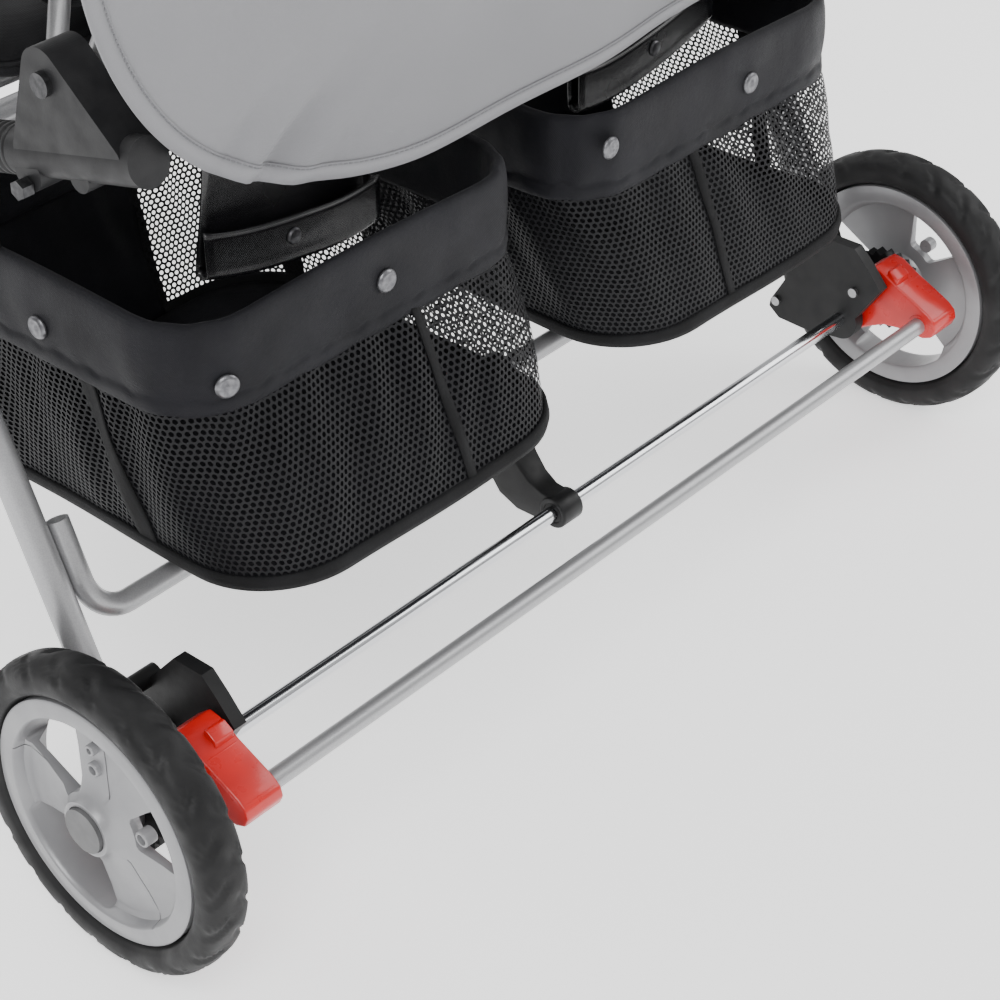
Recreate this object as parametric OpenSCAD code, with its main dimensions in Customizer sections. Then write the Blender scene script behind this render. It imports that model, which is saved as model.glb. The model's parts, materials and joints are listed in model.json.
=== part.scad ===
// Side-by-side twin stroller: folding tube frame, two seats, two baskets,
// a foot brake on the rear axle and two swivelling twin casters in front.
// +X is the stroller's left, -Y its front, Z = 0 the ground.

/* [Overall] */
// Distance between the two rear wheel centres
track = 772; // [700:1:930]
// Distance from the rear axle to the front wheel axle
wheelbase = 540; // [500:1:660]
// Height of the push bar's centre
push_bar_h = 1018; // [900:1:1200]
// Height of the pivot that joins rear leg and side rail
leg_pivot_h = 433; // [400:1:520]

/* [Wheels] */
// Rear wheel diameter
rear_wheel_d = 200; // [170:1:240]
// Rear tyre width
rear_tyre_w = 30; // [26:1:34]
// Rear tyre section height, from rim to tread
rear_tyre_h = 22; // [16:1:28]
// Rear axle diameter
axle_d = 10; // [8:0.5:12]
// Front wheel diameter
front_wheel_d = 150; // [130:1:180]
// Front tyre width
front_tyre_w = 24; // [20:1:28]
// Front axle diameter
front_axle_d = 8; // [6:0.5:10]
// Caster trail, from the swivel axis back to the front axle
trail = 35; // [25:1:42]

/* [Tubes] */
// Side rail and front leg diameter
rail_d = 19; // [16:0.5:22]
// Rear leg diameter
leg_d = 18; // [15:0.5:20]
// Rear cross tube diameter
cross_d = 14; // [12:0.5:16]
// Handle tube diameter
handle_d = 19; // [16:0.5:22]
// Diameter of the seat's straight tubes
seat_tube_d = 16; // [13:0.5:18]
// Brake bar diameter
brake_bar_d = 12; // [10:0.5:14]
// Tube wall thickness
wall = 1.5; // [1:0.1:2.5]
// Slope of the side rails, rising to the rear, in degrees
rail_slope = 14; // [8:0.5:18]
// Lean of the handle from the horizontal, in degrees
handle_lean = 60; // [52:1:68]

/* [Seats and fabric] */
// Seat cushion thickness
seat_t = 34; // [25:1:45]
// Seat cushion depth, front to rear
seat_depth = 270; // [230:1:300]
// Backrest length
back_len = 395; // [380:1:500]
// Backrest lean behind the vertical, in degrees
back_lean = 14; // [8:1:18]
// Depth of each basket's stiff band
band_h = 57; // [45:1:70]
// Fabric thickness of baskets, canopy and rear drape
cloth_t = 3; // [2:0.5:4]

/* [Fits] */
// Radial clearance of a turning fit
running = 0.05; // [0.02:0.01:0.1]
// Gap between a wheel and the part beside it
side_play = 2; // [1:0.5:3]

/* [Hidden] */
$fn = 64;

silver = [0.62, 0.63, 0.64];
chrome = [0.8, 0.81, 0.83];
black_plastic = [0.1, 0.1, 0.11];
grey_plastic = [0.27, 0.27, 0.28];
rim_grey = [0.66, 0.67, 0.68];
tyre_black = [0.12, 0.12, 0.12];
brake_red = [0.83, 0.13, 0.1];
grey_fabric = [0.58, 0.57, 0.59];
black_fabric = [0.13, 0.13, 0.15];

// Stations across the stroller, measured from its middle plane
wheel_x = track / 2;
leg_x = wheel_x - 36;
rail_x = wheel_x - 63;
handle_x = rail_x - 27;
seat_out_x = handle_x - handle_d / 2 - 8;
seat_in_x = 8;
seat_x = (seat_out_x + seat_in_x) / 2;
seat_w = seat_out_x - seat_in_x;

// The model's middle lies between the front wheels' tread and the grip's back
grip_d = handle_d + 13;
handle_pivot = [-44, leg_pivot_h + 74];
grip_reach = (push_bar_h - handle_pivot[1]) / tan(handle_lean);
rear_most = handle_pivot[0] + grip_reach + grip_d / 2;
front_most = -wheelbase - front_wheel_d / 2;
axle_y = -(rear_most + front_most) / 2;

// Side view, as [distance behind the rear axle, height]
axle_h = rear_wheel_d / 2;
leg_pivot = [-172, leg_pivot_h];
leg_foot = [-22, axle_h - 14];
caster_y = -wheelbase - trail;
function rail_h(y) = leg_pivot[1] + (y - leg_pivot[0]) * tan(rail_slope);
rail_end_y = 10;
knee_turn = 53.1301;
socket_bottom = front_wheel_d + 6;
socket_top = socket_bottom + 50;
leg_end = [caster_y + 8, socket_top - 14];
front_leg_dir = rail_slope + knee_turn;
// The knee is where the rail's line meets the front leg's
knee_y = (leg_end[0] + (rail_h(0) - leg_end[1]) / tan(front_leg_dir)) / (1 - tan(rail_slope) / tan(front_leg_dir));
leg_dir = atan2(leg_pivot[1] - leg_foot[1], leg_pivot[0] - leg_foot[0]);

bolt_d = 8;
hub_r = 16;
hub_in = wheel_x - 21.5;
hub_out = wheel_x + 16;

seat_tube_y = [-225, -150, -66];
seat_h = rail_h(seat_tube_y[0]) + seat_tube_d / 2 + 0.5;
seat_back = seat_tube_y[1] - 20;
seat_front = seat_back - seat_depth;
hinge = [seat_tube_y[1], rail_h(seat_tube_y[1])];

basket_floor = axle_h + 100;
basket_top = leg_pivot_h - 71;
basket_in_x = 22;
basket_out_x = rail_x - 25;
basket_front_y = -264;
basket_back_y = -3;

canopy_hub_s = 230;
canopy_hub_d = handle_d + 7;
canopy_hub = handle_pivot + canopy_hub_s * [cos(handle_lean), sin(handle_lean)];
canopy_out_x = handle_x - handle_d / 2 - 2;
canopy_r = canopy_hub_s + 60;
bow_angle = 158;

function unit(v) = v / norm(v);
function yz(x, p) = [x, p[0], p[1]];

// Puts a piece, modelled behind the rear axle's foot, in the model's own frame
module placed() translate([0, axle_y, 0]) children();
module side(s) {
  if (s < 0) mirror([1, 0, 0]) children();
  else children();
}
// A round bar from point a to point b
module rod(a, b, d) {
  v = b - a;
  translate(a) rotate([0, acos(v.z / norm(v)), atan2(v.y, v.x)]) cylinder(h = norm(v), d = d);
}
// A bar along X at a side-view point
module bar_x(x0, x1, p, d) translate([x0, p[0], p[1]]) rotate([0, 90, 0]) cylinder(h = x1 - x0, d = d);
// A side-view outline given thickness from x0 to x1
module slab_x(x0, x1) translate([x0, 0, 0]) rotate([90, 0, 90]) linear_extrude(x1 - x0) children();
module disc_at(p, d) translate(p) circle(d = d);
// Bent tubes lie in a plane. Their points are [along X, up Z] in that plane,
// and the bar is drawn from one end: a straight length, a bend, and so on.
function heading(p, i) = atan2(p[i + 1].x - p[i].x, p[i + 1].y - p[i].y);
function turn_at(p, i) = i < 1 || i > len(p) - 2 ? 0
  : let (t = heading(p, i) - heading(p, i - 1)) t > 180 ? t - 360 : t < -180 ? t + 360 : t;
function cut_at(p, i, r) = r * tan(abs(turn_at(p, i)) / 2);
module elbow(turn, r) translate([r, 0, 0]) rotate([-90, 0, 0]) rotate([0, 0, 180])
  rotate_extrude(angle = turn) translate([r, 0]) children();
module bar_from(p, i, r, d) {
  straight = norm(p[i + 1] - p[i]) - cut_at(p, i, r) - cut_at(p, i + 1, r);
  cylinder(h = straight, d = d);
  turn = turn_at(p, i + 1);
  if (i < len(p) - 2) translate([0, 0, straight]) {
    rotate([0, 0, turn < 0 ? 180 : 0]) elbow(abs(turn), r) circle(d = d);
    translate([sign(turn) * r, 0, 0]) rotate([0, turn, 0]) translate([-sign(turn) * r, 0, 0])
      bar_from(p, i + 1, r, d);
  }
}
module bent_bar(p, r, d) translate([p[0].x, 0, p[0].y]) rotate([0, heading(p, 0), 0]) bar_from(p, 0, r, d);
// The same, hollow and open at both ends
module bent_tube(p, r, d) {
  n = len(p);
  longer = [for (i = [0:n - 1]) i == 0 ? p[0] - unit(p[1] - p[0])
            : i == n - 1 ? p[n - 1] + unit(p[n - 1] - p[n - 2]) : p[i]];
  difference() {
    bent_bar(p, r, d);
    bent_bar(longer, r, d - 2 * wall);
  }
}
// Stands that plane along the stroller, at a station x
module side_plane(x) translate([x, 0, 0]) rotate([0, 0, 90]) children();
rail_path = [[rail_end_y, rail_h(rail_end_y)], [knee_y, rail_h(knee_y)], leg_end];
knee_r = 60;
module rail_solid(d) side_plane(rail_x) bent_bar(rail_path, knee_r, d);

// ---- chassis ----
module side_rail() color(silver) placed() difference() {
  side_plane(rail_x) bent_tube(rail_path, knee_r, rail_d);
  bar_x(rail_x - rail_d, rail_x + rail_d, leg_pivot, bolt_d);
}
// A straight tube between the rails, its ends cut to sit on them
module rail_cross_tube(p, d) difference() {
  bar_x(-rail_x, rail_x, p, d);
  bar_x(-rail_x - 1, rail_x + 1, p, d - 2 * wall);
  for (s = [-1, 1]) side(s) rail_solid(rail_d);
}
footrest_s = 75;
footrest = leg_end + footrest_s * [cos(front_leg_dir), sin(front_leg_dir)];
module footrest_bar() color(silver) placed() rail_cross_tube(footrest, seat_tube_d);
module seat_cross_tubes() color(silver) placed()
  for (y = seat_tube_y) rail_cross_tube([y, rail_h(y)], seat_tube_d);
front_tube_y = seat_front + 30;
front_tube_h = seat_h - seat_tube_d / 2 - 0.5;
module seat_front_tube() color(silver) placed() difference() {
  translate([0, front_tube_y, 0]) bent_tube([
    [-rail_x, rail_h(front_tube_y)], [-rail_x, front_tube_h],
    [rail_x, front_tube_h], [rail_x, rail_h(front_tube_y)]], 30, seat_tube_d);
  for (s = [-1, 1]) side(s) rail_solid(rail_d);
}
sleeve_d = 26;
module fold_bracket() color(grey_plastic) placed() difference() {
  union() {
    rod(yz(rail_x, [-84, rail_h(-84)]), yz(rail_x, [rail_end_y + 4, rail_h(rail_end_y + 4)]), sleeve_d);
    slab_x(rail_x - 12, rail_x + 12) hull() {
      disc_at(handle_pivot + [-2, 4], 28);
      disc_at([-66, rail_h(-66) + 4], 18);
      disc_at([0, rail_h(0) + 5], 14);
    }
    bar_x(rail_x - 12, rail_x + 12, [-66, rail_h(-66) - 8], 20);
    bar_x(rail_x - 9, rail_x + 9, [-29.5, rail_h(-29.5) - 10], 14);
  }
  rail_solid(rail_d + 2 * running);
  bar_x(rail_x - 13, rail_x + 13, handle_pivot, bolt_d);
  bar_x(rail_x - 13, rail_x + 13, [-66, rail_h(-66) - 14.5], 5);
  bar_x(0, rail_x, [seat_tube_y[2], rail_h(seat_tube_y[2])], seat_tube_d + 2 * running);
}
// A bolt along X: head outside, shank running inwards
module bolt(x_in, x_head, p, d, head_d, head_t) {
  bar_x(x_in, x_head, p, d);
  bar_x(x_head, x_head + head_t, p, head_d);
}
module frame_bolts() color(chrome) placed() for (s = [-1, 1]) side(s) {
  bolt(rail_x - rail_d / 2, leg_x + leg_d / 2 + 0.5, leg_pivot, bolt_d, 14, 4);
  bolt(handle_x - handle_d / 2 - 1, rail_x + 12, handle_pivot, bolt_d, 13, 3.5);
  translate([0, -66, rail_h(-66) - 14.5]) {
    bar_x(rail_x - 15, rail_x + 13, [0, 0], 5);
    translate([rail_x + 13, 0, 0]) rotate([0, 90, 0]) cylinder(h = 7, d = 11, $fn = 6);
  }
}
module caster_sockets() color(black_plastic) placed() for (s = [-1, 1]) side(s) difference() {
  union() {
    translate([rail_x, caster_y, socket_bottom]) cylinder(h = socket_top - socket_bottom, d = 36);
    rod(yz(rail_x, leg_end), yz(rail_x, leg_end + 34 * [cos(front_leg_dir), sin(front_leg_dir)]), rail_d + 7);
  }
  rail_solid(rail_d + 2 * running);
  translate([rail_x, caster_y, socket_bottom - 1]) cylinder(h = 26, r = 5 + running);
}
// A flat cushion with round corners, its underside at height 0
module cushion(w, l, t, r) linear_extrude(t) {
  for (x = [-1, 1], y = [-1, 1]) translate([x * (w / 2 - r), y * (l / 2 - r)]) circle(r = r);
  square([w - 2 * r, l], center = true);
  square([w, l - 2 * r], center = true);
}
module seat_pad() color(black_fabric) placed()
  translate([seat_x, (seat_front + seat_back) / 2, seat_h]) cushion(seat_w - 12, seat_depth, seat_t, 22);
calf_top = [seat_front - 6, seat_h + 8];
calf_foot = footrest + [10, 14];
module calf_rest() color(black_fabric) placed() slab_x(seat_x - seat_w / 2 + 14, seat_x + seat_w / 2 - 14)
  hull() {
    disc_at(calf_top, 12);
    disc_at(calf_foot + [-2, 4], 10);
  }
panel_t = 4;
panel_x = rail_x - rail_d / 2 - 0.3 - panel_t;
module side_panels() color(black_fabric) placed() for (s = [-1, 1]) side(s)
  slab_x(panel_x, panel_x + panel_t) hull() {
    disc_at([seat_front + 12, seat_h + 11], 20);
    disc_at([seat_front + 20, seat_h + 72], 40);
    disc_at([seat_tube_y[1], hinge[1] + seat_tube_d / 2 + 10.5], 20);
    disc_at([seat_tube_y[1] - 18, seat_h + 180], 60);
  }
// A basket: floor wider to the rear than its mouth, open at the top
module basket_block(inset, drop) {
  band_foot = basket_top - band_h;
  r_top = 45 - inset;
  r_floor = 58 - inset;
  hull() for (x = [basket_in_x + 45, basket_out_x - 45], y = [basket_front_y + 45, basket_back_y - 45])
    translate([x, y, band_foot]) cylinder(h = band_h + drop, r = r_top, $fn = 48);
  hull() {
    for (x = [basket_in_x + 45, basket_out_x - 45], y = [basket_front_y + 45, basket_back_y - 45])
      translate([x, y, band_foot]) cylinder(h = 1, r = r_top, $fn = 48);
    for (x = [basket_in_x + 66, basket_out_x - 66], y = [basket_front_y + 78, basket_back_y - 22])
      translate([x, y, basket_floor + inset]) cylinder(h = 6, r = r_floor, $fn = 48);
  }
}
tab_y = [seat_tube_y[1] - 65, seat_tube_y[1] - 15];
module basket() color(black_fabric) placed() {
  difference() {
    basket_block(0, 0);
    basket_block(cloth_t, 1);
  }
  translate([0, tab_y[0] + 30, 0]) rotate([90, 0, 0]) linear_extrude(30) polygon([
    [basket_out_x - 3, basket_top - 4], [basket_out_x, basket_top - 4],
    [rail_x - rail_d / 2 - 0.2, rail_h(tab_y[0])], [rail_x - rail_d / 2 - 3.2, rail_h(tab_y[0])]]);
  translate([basket_in_x, tab_y[1], basket_top - 4])
    cube([3, 30, hinge[1] - seat_tube_d / 2 - basket_top + 3.8]);
}
snap_d = 14;
snap_h = basket_top - 37;
module basket_snaps() color(grey_plastic) placed() {
  for (at = [[-146, 9.5], [-254, 15.5], [-342, 6.5]])
    translate([basket_out_x + at[0], basket_back_y, snap_h + at[1]]) rotate([-90, 0, 0])
      cylinder(h = 2.5, d = snap_d);
  translate([basket_out_x - 45, basket_back_y - 45, snap_h - 3.5]) rotate(67.5)
    translate([45, 0, 0]) rotate([0, 90, 0]) cylinder(h = 2.5, d = snap_d);
  for (s = [-1, 1], y = [-122, -230]) translate([0, y, snap_h])
    bar_x(s > 0 ? basket_out_x : -basket_out_x - 2.5, s > 0 ? basket_out_x + 2.5 : -basket_out_x, [0, 0], snap_d);
}
strap_x = seat_x + 10;
strap_w = 116;
module seat_straps() color(black_fabric) placed() difference() {
  for (s = [-1, 1]) translate([s * strap_x - strap_w / 2, seat_tube_y[2] - 3, basket_top - 40])
    cube([strap_w, 6, rail_h(seat_tube_y[2]) - basket_top + 40]);
  bar_x(-rail_x, rail_x, [seat_tube_y[2], rail_h(seat_tube_y[2])], seat_tube_d + 0.1);
}

// ---- rear frame ----
leg_up = unit(leg_pivot - leg_foot);
leg_top = leg_pivot + 14 * leg_up;
module leg_bar(d, extra) rod(yz(leg_x, leg_foot - extra * leg_up), yz(leg_x, leg_top + extra * leg_up), d);
module rear_leg() color(silver) placed() difference() {
  leg_bar(leg_d, 0);
  leg_bar(leg_d - 2 * wall, 1);
  bar_x(leg_x - leg_d, leg_x + leg_d, leg_pivot, bolt_d + 2 * running);
}
cross_h = axle_h + 75;
cross_y = -59;
cross_rise = 62;
module rear_cross_tube() color(silver) placed() {
  in_x = leg_x - leg_d / 2 - cross_d / 2 - 0.2;
  translate([0, cross_y, cross_h]) rotate([leg_dir - 90, 0, 0])
    bent_tube([[-in_x, cross_rise], [-in_x, 0], [in_x, 0], [in_x, cross_rise]], 24, cross_d);
}
axle_end = wheel_x + 17;
module rear_axle() color(chrome) placed() bar_x(-axle_end, axle_end, [0, axle_h], axle_d);
cheek_x = wheel_x - 76;
cheek_t = 9;
out_x = wheel_x - 24;
module axle_bracket() color(black_plastic) placed() difference() {
  union() {
    slab_x(cheek_x, cheek_x + cheek_t) union() {
      translate([0, axle_h]) polygon([[-52, -18], [-30, -19], [0, -15], [33, 35], [20, 50], [9, 61],
                                      [-14, 61], [-38, 34], [-60, -5], [-61, -11]]);
      disc_at([0, axle_h], 30);
    }
    slab_x(out_x - 8, out_x) hull() {
      disc_at([0, axle_h], 30);
      disc_at(leg_foot + 20 * leg_up, 26);
    }
    rod(yz(leg_x, leg_foot - 6 * leg_up), yz(leg_x, leg_foot + 62 * leg_up), leg_d + 6);
    bar_x(cheek_x, leg_x, leg_foot + [-16, 8], 16);
    bar_x(cheek_x, leg_x, leg_foot + 50 * leg_up, 12);
  }
  leg_bar(leg_d + 2 * running, 0);
  bar_x(cheek_x - 1, out_x + 1, [0, axle_h], axle_d + 2 * running);
  bar_x(cheek_x + cheek_t, out_x - 8, [0, axle_h], 33);
}
module bracket_screws() color(chrome) placed() for (s = [-1, 1]) side(s)
  for (p = [[-54.4, -4.2], [11.2, 27.1]])
    translate([cheek_x - 2.5, p[0], axle_h + p[1]]) rotate([0, 90, 0]) cylinder(h = 2.5, d = 7);
support_w = 26;
module centre_support() color(black_plastic) placed() difference() {
  union() {
    slab_x(-support_w / 2, support_w / 2) union() {
      hull() {
        disc_at([cross_y, cross_h], cross_d + 9);
        disc_at([cross_y + 6, cross_h - 20], 30);
        disc_at([-26, axle_h + 4], 24);
      }
      hull() {
        disc_at([-26, axle_h + 4], 24);
        disc_at([-2, axle_h + 1], 22);
      }
    }
    bar_x(-support_w / 2 - 2, support_w / 2 + 2, [0, axle_h], axle_d + 9);
  }
  bar_x(-support_w, support_w, [0, axle_h], axle_d + 2 * running);
  bar_x(-support_w, support_w, [cross_y, cross_h], cross_d + 2 * running);
}

// ---- foot brake ----
brake_bar_p = [59, axle_h + 12];
lever_x = [leg_x - 28, leg_x];
module brake_lever() color(brake_red) placed() difference() {
  union() {
    bar_x(lever_x[0], lever_x[1], [0, axle_h], 28);
    slab_x(lever_x[0], lever_x[1]) translate([0, axle_h])
      polygon([[2, 13], [17.5, 44], [24, 45], [66, 22], [72.5, 17], [69.6, 5], [57, 2], [12, -8], [2, -13]]);
    slab_x(lever_x[0], lever_x[0] + 13) translate([0, axle_h])
      polygon([[-2, 12], [4, 12], [4, -12], [-3, -21], [-9, -20], [-12, -8]]);
  }
  bar_x(lever_x[0] - 1, lever_x[1] + 1, [0, axle_h], axle_d + 2 * running);
  bar_x(lever_x[0] - 1, lever_x[1] - 8, brake_bar_p, brake_bar_d + 2 * running);
}
module brake_bar() color(silver) placed() bar_x(-lever_x[1] + 8.5, lever_x[1] - 8.5, brake_bar_p, brake_bar_d);

// ---- wheels ----
// A tyre about the X axis, seated on a rim of radius r_in
module tyre(r_in, r_out, w) rotate([0, 90, 0]) rotate_extrude($fn = 96)
  polygon([[r_in, -w / 2 + 3], [r_in + 3, -w / 2 + 1], [r_out - 9, -w / 2], [r_out - 2.5, -w / 2 + 5],
           [r_out, -w / 2 + 11], [r_out, w / 2 - 11], [r_out - 2.5, w / 2 - 5], [r_out - 9, w / 2],
           [r_in + 3, w / 2 - 1], [r_in, w / 2 - 3]]);
// One window between two spokes
module window(r0, r1, half_angle) intersection() {
  difference() {
    circle(r = r1);
    circle(r = r0);
  }
  polygon([[0, 0], 2 * r1 * [cos(half_angle), -sin(half_angle)], [2.4 * r1, 0],
           2 * r1 * [cos(half_angle), sin(half_angle)]]);
}
// The three windows, as [direction, half angle]: one wide, two narrow
windows = [[-124, 35], [131, 27], [13, 22]];
module rim(r_rim, w, r_hub, x_in, x_out, bore_d) difference() {
  union() {
    rotate([0, 90, 0]) rotate_extrude($fn = 96) polygon([[r_rim - 8, -w / 2], [r_rim, -w / 2],
                                                        [r_rim, w / 2], [r_rim - 8, w / 2]]);
    slab_x(-5, 5) difference() {
      circle(r = r_rim - 4);
      for (v = windows) rotate(v[0]) window(r_hub + 8, r_rim - 9, v[1]);
    }
    bar_x(x_in, x_out, [0, 0], 2 * r_hub);
  }
  bar_x(x_in - 1, x_out + 1, [0, 0], bore_d + 2 * running);
}
rear_rim_r = rear_wheel_d / 2 - rear_tyre_h;
module rear_at() placed() translate([wheel_x, 0, axle_h]) children();
module rear_tyre() color(tyre_black) rear_at() tyre(rear_rim_r, rear_wheel_d / 2, rear_tyre_w);
module rear_rim(spin) color(rim_grey) rear_at() rotate([spin, 0, 0])
  rim(rear_rim_r, rear_tyre_w - 6, hub_r, hub_in - wheel_x, hub_out - wheel_x, axle_d);
module hub_cap() color(grey_plastic) rear_at() difference() {
  bar_x(hub_out - wheel_x, hub_out - wheel_x + 4, [0, 0], 28);
  bar_x(hub_out - wheel_x - 1, axle_end - wheel_x + 0.3, [0, 0], axle_d + 2 * running);
}

arm_w = 22;
front_hub_r = 12;
module caster_fork() color(black_plastic) placed() translate([rail_x, caster_y, 0]) difference() {
  union() {
    cylinder_stem();
    slab_x(-arm_w / 2, arm_w / 2) hull() {
      disc_at([2, socket_bottom - 24], 34);
      disc_at([trail, front_wheel_d / 2], 26);
    }
    translate([0, 0, socket_bottom - 9]) cylinder(h = 8, d = 32);
  }
  bar_x(-arm_w, arm_w, [trail, front_wheel_d / 2], front_axle_d + 2 * running);
}
module cylinder_stem() translate([0, 0, socket_bottom - 3]) cylinder(h = 26, d = 10);
front_wheel_off = arm_w / 2 + side_play + front_tyre_w / 2;
module front_at(x) placed() translate([x, -wheelbase, front_wheel_d / 2]) children();
module front_axle() color(chrome) front_at(rail_x)
  bar_x(-front_wheel_off - front_tyre_w / 2 - 2, front_wheel_off + front_tyre_w / 2 + 2, [0, 0], front_axle_d);
front_rim_r = front_wheel_d / 2 - 17;
module front_tyre(x) color(tyre_black) front_at(x) tyre(front_rim_r, front_wheel_d / 2, front_tyre_w);
module front_rim(x) color(rim_grey) front_at(x)
  rim(front_rim_r, front_tyre_w - 6, front_hub_r, -front_tyre_w / 2 + 0.5, front_tyre_w / 2 - 0.5, front_axle_d);
front_out_x = rail_x + front_wheel_off;
front_in_x = rail_x - front_wheel_off;

// ---- handle and canopy ----
handle_up = [cos(handle_lean), sin(handle_lean)];
grip_at = [handle_pivot[0] + grip_reach, push_bar_h];
handle_len = norm(grip_at - handle_pivot);
module handle_plane() translate([0, handle_pivot[0], handle_pivot[1]]) rotate([handle_lean - 90, 0, 0]) children();
module handle_tube() color(silver) placed() difference() {
  handle_plane() bent_tube([[-handle_x, -14], [-handle_x, handle_len], [handle_x, handle_len],
                            [handle_x, -14]], 70, handle_d);
  bar_x(-handle_x - 20, handle_x + 20, handle_pivot, bolt_d + 2 * running);
}
module handle_grip() color(black_plastic) placed() difference() {
  bar_x(-handle_x + 75, handle_x - 75, grip_at, grip_d);
  bar_x(-handle_x, handle_x, grip_at, handle_d + 2 * running);
}
drape_half_w = wheel_x + 9;
drape_r = 283;
drape_bottom = leg_pivot_h - 33;
drape_lean = 16;
drape_y = -8;
drape_bend = 290;
drape_knee = [drape_y + drape_bend * sin(drape_lean), drape_bottom + drape_bend * cos(drape_lean)];
drape_top = drape_knee + (canopy_r - 25) * handle_up;
drape_top_x = handle_x + 10;
module rear_drape() color(grey_fabric) placed() intersection() {
  slab_x(-drape_half_w, drape_half_w) polygon([
    [drape_y, drape_bottom], drape_knee, drape_top,
    drape_top + [cloth_t, -1], drape_knee + [cloth_t, -1], [drape_y + cloth_t, drape_bottom]]);
  translate([0, 200, drape_bottom]) rotate([90, 0, 0]) linear_extrude(400) union() {
    for (s = [-1, 1]) translate([s * (drape_half_w - drape_r), drape_r]) circle(r = drape_r, $fn = 128);
    translate([-drape_half_w + drape_r, 0]) square([2 * (drape_half_w - drape_r), drape_r]);
    polygon([[-drape_half_w, drape_r], [drape_half_w, drape_r], [drape_top_x, drape_r + 130],
             [drape_top_x, 700], [-drape_top_x, 700], [-drape_top_x, drape_r + 130]]);
  }
}
bow_d = 8;
bow_x = canopy_out_x - 12;
bow_pin_d = 6;
module canopy_hubs() color(black_plastic) placed() for (s = [-1, 1]) side(s) difference() {
  union() {
    bar_x(handle_x - handle_d / 2 - 9, handle_x + handle_d / 2 + 4, canopy_hub, canopy_hub_d);
    bar_x(bow_x - bow_d / 2 - 2, handle_x - handle_d / 2 - 8, canopy_hub, bow_pin_d);
  }
  rod(yz(handle_x, canopy_hub - 40 * handle_up), yz(handle_x, canopy_hub + 40 * handle_up),
      handle_d + 2 * running);
}

bow_dir = [cos(bow_angle), sin(bow_angle)];
bow_reach = canopy_r - bow_d / 2 - 0.5;
module canopy_bow() color(grey_plastic) placed() difference() {
  union() {
    translate([0, canopy_hub[0], canopy_hub[1]]) rotate([bow_angle - 90, 0, 0])
      bent_bar([[-bow_x, 4], [-bow_x, bow_reach], [bow_x, bow_reach], [bow_x, 4]], 30, bow_d);
    for (x = [-bow_x, bow_x]) bar_x(x - bow_d / 2 - 0.6, x + bow_d / 2 + 0.6, canopy_hub, 16);
  }
  bar_x(-bow_x - bow_d, bow_x + bow_d, canopy_hub, bow_pin_d + 2 * running);
}
// The sector that the canopy's cloth sweeps, from the handle to the front bow
module canopy_sector(r) intersection() {
  circle(r = r, $fn = 128);
  polygon([[0, 0], 2 * r * [cos(handle_lean + 3), sin(handle_lean + 3)], [0, 2 * r], 2 * r * bow_dir]);
}
module canopy_fabric() color(grey_fabric) placed() difference() {
  slab_x(-canopy_out_x, canopy_out_x) translate(canopy_hub) canopy_sector(canopy_r + cloth_t);
  slab_x(-canopy_out_x + cloth_t, canopy_out_x - cloth_t) translate(canopy_hub) circle(r = canopy_r, $fn = 128);
  slab_x(-canopy_out_x - 1, canopy_out_x + 1) translate(canopy_hub) circle(r = 30);
}

// ---- backrests ----
back_w = seat_w - 32;
back_t = 34;
back_tube_d = 12;
arm_x = back_w / 2 - 14;
module reclined() placed() translate([seat_x, hinge[0], hinge[1]]) rotate([-back_lean, 0, 0]) children();
module back_frame() color(silver) reclined() difference() {
  union() {
    bent_bar([[-arm_x, 11], [-arm_x, back_len - 12], [arm_x, back_len - 12], [arm_x, 11]], 40, back_tube_d);
    for (x = [-1, 1]) bar_x(x * arm_x - 8, x * arm_x + 8, [0, 0], seat_tube_d + 12);
  }
  bar_x(-arm_x - 9, arm_x + 9, [0, 0], seat_tube_d + 2 * running);
}
module back_pad() color(black_fabric) reclined()
  translate([0, -back_tube_d / 2 - 0.5, (back_len + 24) / 2]) rotate([90, 0, 0])
    cushion(back_w, back_len - 24, back_t, 22);
strap_t = 2;
module harness() color(black_fabric) reclined() translate([0, -back_tube_d / 2 - back_t - 1 - strap_t, 0]) {
  for (x = [-1, 1]) {
    translate([x * 45 - 12.5, 0, 90]) cube([25, strap_t, 270]);
    translate([x * 45 - 20, -6, 210]) cube([40, 6, 110]);
  }
  translate([-22, -8, 60]) cube([44, 10, 50]);
  translate([-100, 0, 74]) cube([200, strap_t, 25]);
}

side_rail();  // side_rail_left
mirror([1, 0, 0]) side_rail();  // side_rail_right
footrest_bar();
seat_front_tube();
seat_cross_tubes();
fold_bracket();  // fold_bracket_left
mirror([1, 0, 0]) fold_bracket();  // fold_bracket_right
frame_bolts();
caster_sockets();
seat_pad();  // seat_pad_left
mirror([1, 0, 0]) seat_pad();  // seat_pad_right
calf_rest();  // calf_rest_left
mirror([1, 0, 0]) calf_rest();  // calf_rest_right
side_panels();
basket();  // basket_left
mirror([1, 0, 0]) basket();  // basket_right
basket_snaps();
seat_straps();
rear_leg();  // rear_leg_left
mirror([1, 0, 0]) rear_leg();  // rear_leg_right
rear_cross_tube();
rear_axle();
axle_bracket();  // axle_bracket_left
mirror([1, 0, 0]) axle_bracket();  // axle_bracket_right
bracket_screws();
centre_support();
brake_lever();  // brake_lever_left
mirror([1, 0, 0]) brake_lever();  // brake_lever_right
brake_bar();
rear_tyre();  // rear_tyre_left
rear_rim(0);  // rear_rim_left
hub_cap();  // hub_cap_left
mirror([1, 0, 0]) rear_tyre();  // rear_tyre_right
mirror([1, 0, 0]) rear_rim(46);  // rear_rim_right
mirror([1, 0, 0]) hub_cap();  // hub_cap_right
caster_fork();  // caster_fork_left
mirror([1, 0, 0]) caster_fork();  // caster_fork_right
front_axle();  // front_axle_left
mirror([1, 0, 0]) front_axle();  // front_axle_right
front_tyre(front_out_x);  // front_tyre_left_outer
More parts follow.
